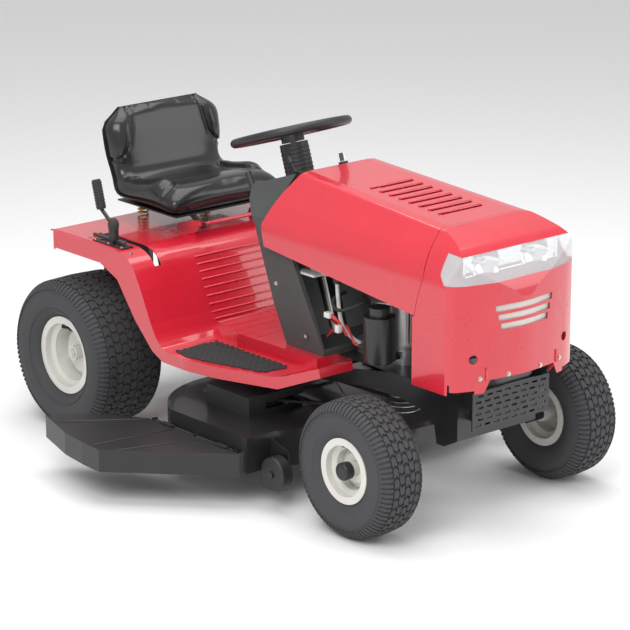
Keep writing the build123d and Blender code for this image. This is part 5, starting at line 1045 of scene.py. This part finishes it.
@dataclass
class Controls:
    """Grips, knobs and the comb plate on the levers, and the wheel's boss."""

    def lift_grip(self) -> None:
        """Fit the ribbed rubber grip on the lift lever."""
        start, end = Vector((44, -340, 672)), Vector((21, -340, 752))
        run = end - start
        rings = []
        for index in range(9):
            here = start + run * (0.08 + 0.105 * index)
            there = start + run * (0.08 + 0.105 * index + 0.06)
            rings.append(bar("ring", tuple(here), tuple(there), 15.6, 24, 1.2))
        top = start + run * 0.97
        rings.append(bar("crown", tuple(top), tuple(end + run.normalized() * 7), 14.2, 24, 5))
        dress(merged("lift_grip", rings), Paint.RUBBER, "lift_lever")

    def shift_knob(self) -> None:
        """Fit the ball knob and its collar on the shift lever."""
        profile = [(172, 632), (180, 633), (184, 640), (188, 650), (189, 660), (186, 670), (180, 677), (172.01, 679)]
        knob = turned("shift_knob", [(x, -392, z) for x, z in profile], (172, -392, 640), (0, 0, 1), 40)
        collar = bar("collar", (172, -392, 612), (172, -392, 634), 12, 24, 2)
        dress(merged("shift_knob", [knob, collar]), Paint.RUBBER, "shift_lever")

    def quadrant(self) -> None:
        """Cut the comb of notches beside the lift lever and screw it down."""
        teeth = []
        for index in range(9):
            x = 60 + index * 15
            teeth.append(slab("tooth", (x, -372, 600), (x + 8, -356, 606), 1.0))
        rail = slab("rail", (50, -378, 600), (200, -370, 607), 1.5)
        dress(merged("lift_comb", [rail, *teeth]), Paint.DASH, "chassis")
        for index, x in enumerate((104, 168, 232)):
            screw(f"quadrant_screw_{index}", (x, -408, 603), (0, 0, 1), Paint.ZINC, "chassis", 4)

    def slot_guard(self) -> None:
        """Hang a dark guard under the fender, inboard of the lift lever's slot and clear of the tyre."""
        guard = slab("slot_guard", (20, -318, 475), (236, -315.5, 596), 0.5)
        for vertex in guard.data.vertices:
            place = (vertex.co - Datum.origin) / MM
            if place.x > 200:
                vertex.co.x += 49 * (596 - place.z) / 121 * MM
        dress(guard, Paint.PLASTIC, "chassis")

    def boss(self) -> None:
        """Cap the steering wheel's hub with a dished boss."""
        rings = [(0.01, -14), (16, -13.4), (27, -11), (34, -6), (38, 2), (38, 8)]
        profile = [Datum.column(drop, reach) for reach, drop in rings]
        axis = Vector(Datum.column(0)) - Vector(Datum.column(100))
        boss = turned("wheel_boss", profile, Datum.column(0), tuple(axis.normalized()), 48)
        dress(boss, Paint.PLASTIC, "steering")

    def column_boot(self) -> None:
        """Ring the column cover with its bellows folds."""
        folds = []
        for drop in range(48, 122, 12):
            low, high = Datum.column(drop), Datum.column(drop + 6)
            folds.append(bar("fold", low, high, 43.4, 40, 2.2))
        dress(merged("column_boot", folds), Paint.PLASTIC, "chassis")

    def dash_side(self) -> None:
        """Set the screws low on each side of the dash."""
        for side in Side:
            y = side.sign * 212
            face = (0, side.sign, 0)
            for index, (x, z) in enumerate(((690, 690), (700, 560), (830, 430))):
                screw(f"dash_screw_{side.value}_{index}", (x, y - side.sign * 2, z), face, Paint.ZINC, "chassis", 5)

    def build(self) -> None:
        """Make every piece of the controls."""
        self.lift_grip()
        self.shift_knob()
        self.quadrant()
        self.slot_guard()
        self.boss()
        self.column_boot()
        self.dash_side()


@dataclass
class HoodAndGrille:
    """The dark plate under the vent, painted shade for its slots, the grille insert and the screws on the tilting hood.
    """

    body: str = "hood"

    def vent(self) -> None:
        """Put a dark plate under the vent's slots as painted shade, and the raised lips on the hood's vent."""
        # painted shade: a dark plate just under the vent's slots, so that they read dark
        dress(slab("vent_shade_plate", (950, -84, 836), (1262, 84, 840), 1), Paint.PLASTIC, self.body)
        lips = []
        for row in range(8):
            x = 960 + row * 40
            z = 881 - 38 * (x - 735) / 595
            lips.append(bar("lip", (x - 3, -80, z + 2), (x - 3, 80, z + 2), 4.6, 16, 3))
        dress(merged("vent_lips", lips), Paint.RED, self.body)

    def insert(self) -> None:
        """Back the grille's slots with a pale plate that follows the nose's plan."""
        low, high, tip, half = 576, 654, 20, 109
        plates = [slab("tip", (1498, -tip, low), (1503, tip, high), 0.5)]
        for side in (-1, 1):
            wing = slab("wing", (0, min(side * tip, side * half), low), (5, max(side * tip, side * half), high), 0.5)
            for vertex in wing.data.vertices:
                place = (vertex.co - Datum.origin) / MM
                place.x += 1498 - 15 * (abs(place.y) - tip) / 92
                vertex.co = Datum.at(*place)
            plates.append(wing)
        dress(merged("grille_insert", plates), Paint.CREAM, self.body)

    def screws(self) -> None:
        """Set the four screws low on the grille."""
        for index, (y, x) in enumerate(((-150, 1484), (-60, 1501), (60, 1501), (150, 1484))):
            screw(f"grille_screw_{index}", (x, y, 452), (1, 0, 0), Paint.ZINC, self.body, 5.5)

    def build(self) -> None:
        """Make every piece of the hood and grille."""
        self.vent()
        self.insert()
        self.screws()


@dataclass
class EngineBay:
    """Leads, connectors and dipstick round the engine."""

    body: str = "chassis"

    def leads(self) -> None:
        """Run the starter's lead and the harness beside the engine."""
        routes = {
            "harness_red": ([(905, -150, 470), (900, -186, 500), (930, -200, 520), (960, -190, 492), (968, -176, 460)], 4, Paint.WIRE),
            "harness_black": ([(900, -120, 560), (905, -180, 560), (940, -196, 530), (985, -190, 540), (1010, -150, 560)], 5, Paint.RUBBER),
            "plug_lead": ([(1060, -100, 620), (1120, -130, 600), (1190, -110, 560), (1200, -60, 520)], 4, Paint.RUBBER),
        }
        for name, (route, radius, paint) in routes.items():
            dress(hose(name, route, radius), paint, self.body)

    def connectors(self) -> None:
        """Clip the white connectors on the harness."""
        blocks = [
            slab("plug_a", (905, -208, 505), (929, -190, 521), 2),
            slab("plug_b", (950, -206, 470), (966, -190, 492), 2),
        ]
        dress(merged("connectors", blocks), Paint.TANK, self.body)

    def dipstick(self) -> None:
        """Stand the dipstick tube and its cap beside the block."""
        tube = hose("dipstick_tube", [(950, -110, 420), (930, -150, 450), (920, -165, 520), (918, -168, 600)], 6)
        dress(tube, Paint.TANK, self.body)
        cap = bar("dipstick_cap", (918, -168, 600), (918, -168, 618), 13, 12, 2)
        dress(cap, Paint.PLASTIC, self.body)

    def build(self) -> None:
        """Make every piece round the engine."""
        self.leads()
        self.connectors()
        self.dipstick()


@dataclass
class CuttingDeck:
    """Bolts and ribs on the deck and its deflector."""

    def bolts(self) -> None:
        """Bolt the spindle housings to the deck's top."""
        bolts = []
        for y in (-232, 298):
            for index in range(6):
                angle = math.tau * index / 6
                x = 670 + 40 * math.cos(angle)
                bolts.append(bar("bolt", (x, y + 40 * math.sin(angle), 208), (x, y + 40 * math.sin(angle), 215), 5, 6))
        dress(merged("spindle_bolts", bolts), Paint.ZINC, "deck")

    def deflector_ribs(self) -> None:
        """Raise the moulded ribs on the deflector."""
        ribs = [
            bar("rib", (600, -510, 160), (560, -768, 160), 2.6, 12, 1),
            bar("rib", (480, -512, 160), (330, -720, 160), 2.6, 12, 1),
            bar("rib", (720, -510, 160), (640, -745, 160), 2.6, 12, 1),
        ]
        dress(merged("deflector_ribs", ribs), Paint.PLASTIC, "chute_deflector")

    def build(self) -> None:
        """Make every piece of the deck."""
        self.bolts()
        self.deflector_ribs()


# ---------------------------------------------------------------------------
# Stage
# ---------------------------------------------------------------------------
@dataclass
class Studio:
    """Pale floor, soft lights and the camera."""

    camera_place: Point = (6952, -5435, 2905)
    azimuth: float = 49.33
    elevation: float = 16.67
    lens: float = 169.2

    def floor(self) -> None:
        """Lay the pale floor under the tread."""
        clear_selection()
        bpy.ops.mesh.primitive_plane_add(size=60, location=(0, 0, -LUG_HEIGHT * MM))
        floor = named("studio_floor")
        settle(floor)
        material = bpy.data.materials.new("studio_floor")
        material.use_nodes = True
        shader = material.node_tree.nodes["Principled BSDF"]
        shader.inputs["Base Color"].default_value = (0.90, 0.90, 0.90, 1)
        shader.inputs["Roughness"].default_value = 0.75
        floor.data.materials.append(material)

    def lamp(self, name: str, place: Point, size: float, power: float) -> None:
        """Hang a soft square lamp that faces the machine.

        Args:
            name: the lamp's name.
            place: machine millimetres.
            size: its side in metres.
            power: its strength in watts.
        """
        light = bpy.data.lights.new(name, "AREA")
        light.size = size
        light.energy = power
        lamp = bpy.data.objects.new(name, light)
        bpy.context.scene.collection.objects.link(lamp)
        lamp.location = Datum.at(*place)
        aim = Datum.at(600, 0, 450) - lamp.location
        lamp.rotation_euler = aim.to_track_quat("-Z", "Y").to_euler()

    def build(self) -> None:
        """Set the stage, the lights and the camera."""
        self.floor()
        world = bpy.data.worlds.new("studio_air")
        world.use_nodes = True
        world.node_tree.nodes["Background"].inputs["Color"].default_value = (1, 1, 1, 1)
        world.node_tree.nodes["Background"].inputs["Strength"].default_value = 0.62
        bpy.context.scene.world = world
        bpy.context.scene.view_settings.view_transform = "Standard"
        self.lamp("key", (2600, -3200, 3600), 2.6, 120)
        self.lamp("overhead", (400, 300, 4200), 3.6, 110)
        self.lamp("fill", (3600, 2400, 1800), 2.4, 35)
        camera_data = bpy.data.cameras.new("camera")
        camera_data.lens = self.lens
        camera_data.sensor_width = 36
        camera_data.clip_end = 100
        camera = bpy.data.objects.new("camera", camera_data)
        bpy.context.scene.collection.objects.link(camera)
        camera.location = Datum.at(*self.camera_place)
        azimuth, elevation = math.radians(self.azimuth), math.radians(self.elevation)
        back = Vector(
            (
                math.sin(azimuth) * math.cos(elevation),
                -math.cos(azimuth) * math.cos(elevation),
                math.sin(elevation),
            )
        )
        camera.rotation_euler = back.to_track_quat("Z", "Y").to_euler()
        bpy.context.scene.camera = camera


def dress_nodes(frame: dict) -> None:
    """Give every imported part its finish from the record's slots.
    """
    by_slot: dict[str, Paint] = {}
    for paint in Paint:
        by_slot.setdefault(paint.slot, paint)
    for entry in frame["record"]["subparts"]:
        node = frame["nodes"][entry["node"]]
        node.data.materials.clear()
        node.data.materials.append(by_slot[entry["material_slot"]].material)


def main() -> None:
    """Build the machine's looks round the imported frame."""
    logging.basicConfig(level=logging.INFO, format="%(message)s")
    random.seed(7)
    bpy.ops.wm.read_factory_settings(use_empty=True)
    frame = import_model()
    Datum.read()
    dress_nodes(frame)
    Studio().build()
    for side in Side:
        Wheel("rear", side, 0, 368, 228.5, 120.5, 46, 7, 60).build()
        Wheel("front", side, 1251, 375, 190.5, 76, 40, 5, 30).build()
    Seat().build()
    FenderBody().build()
    Controls().build()
    HoodAndGrille().build()
    EngineBay().build()
    CuttingDeck().build()
    clear_selection()


if __name__ == "__main__":
    main()
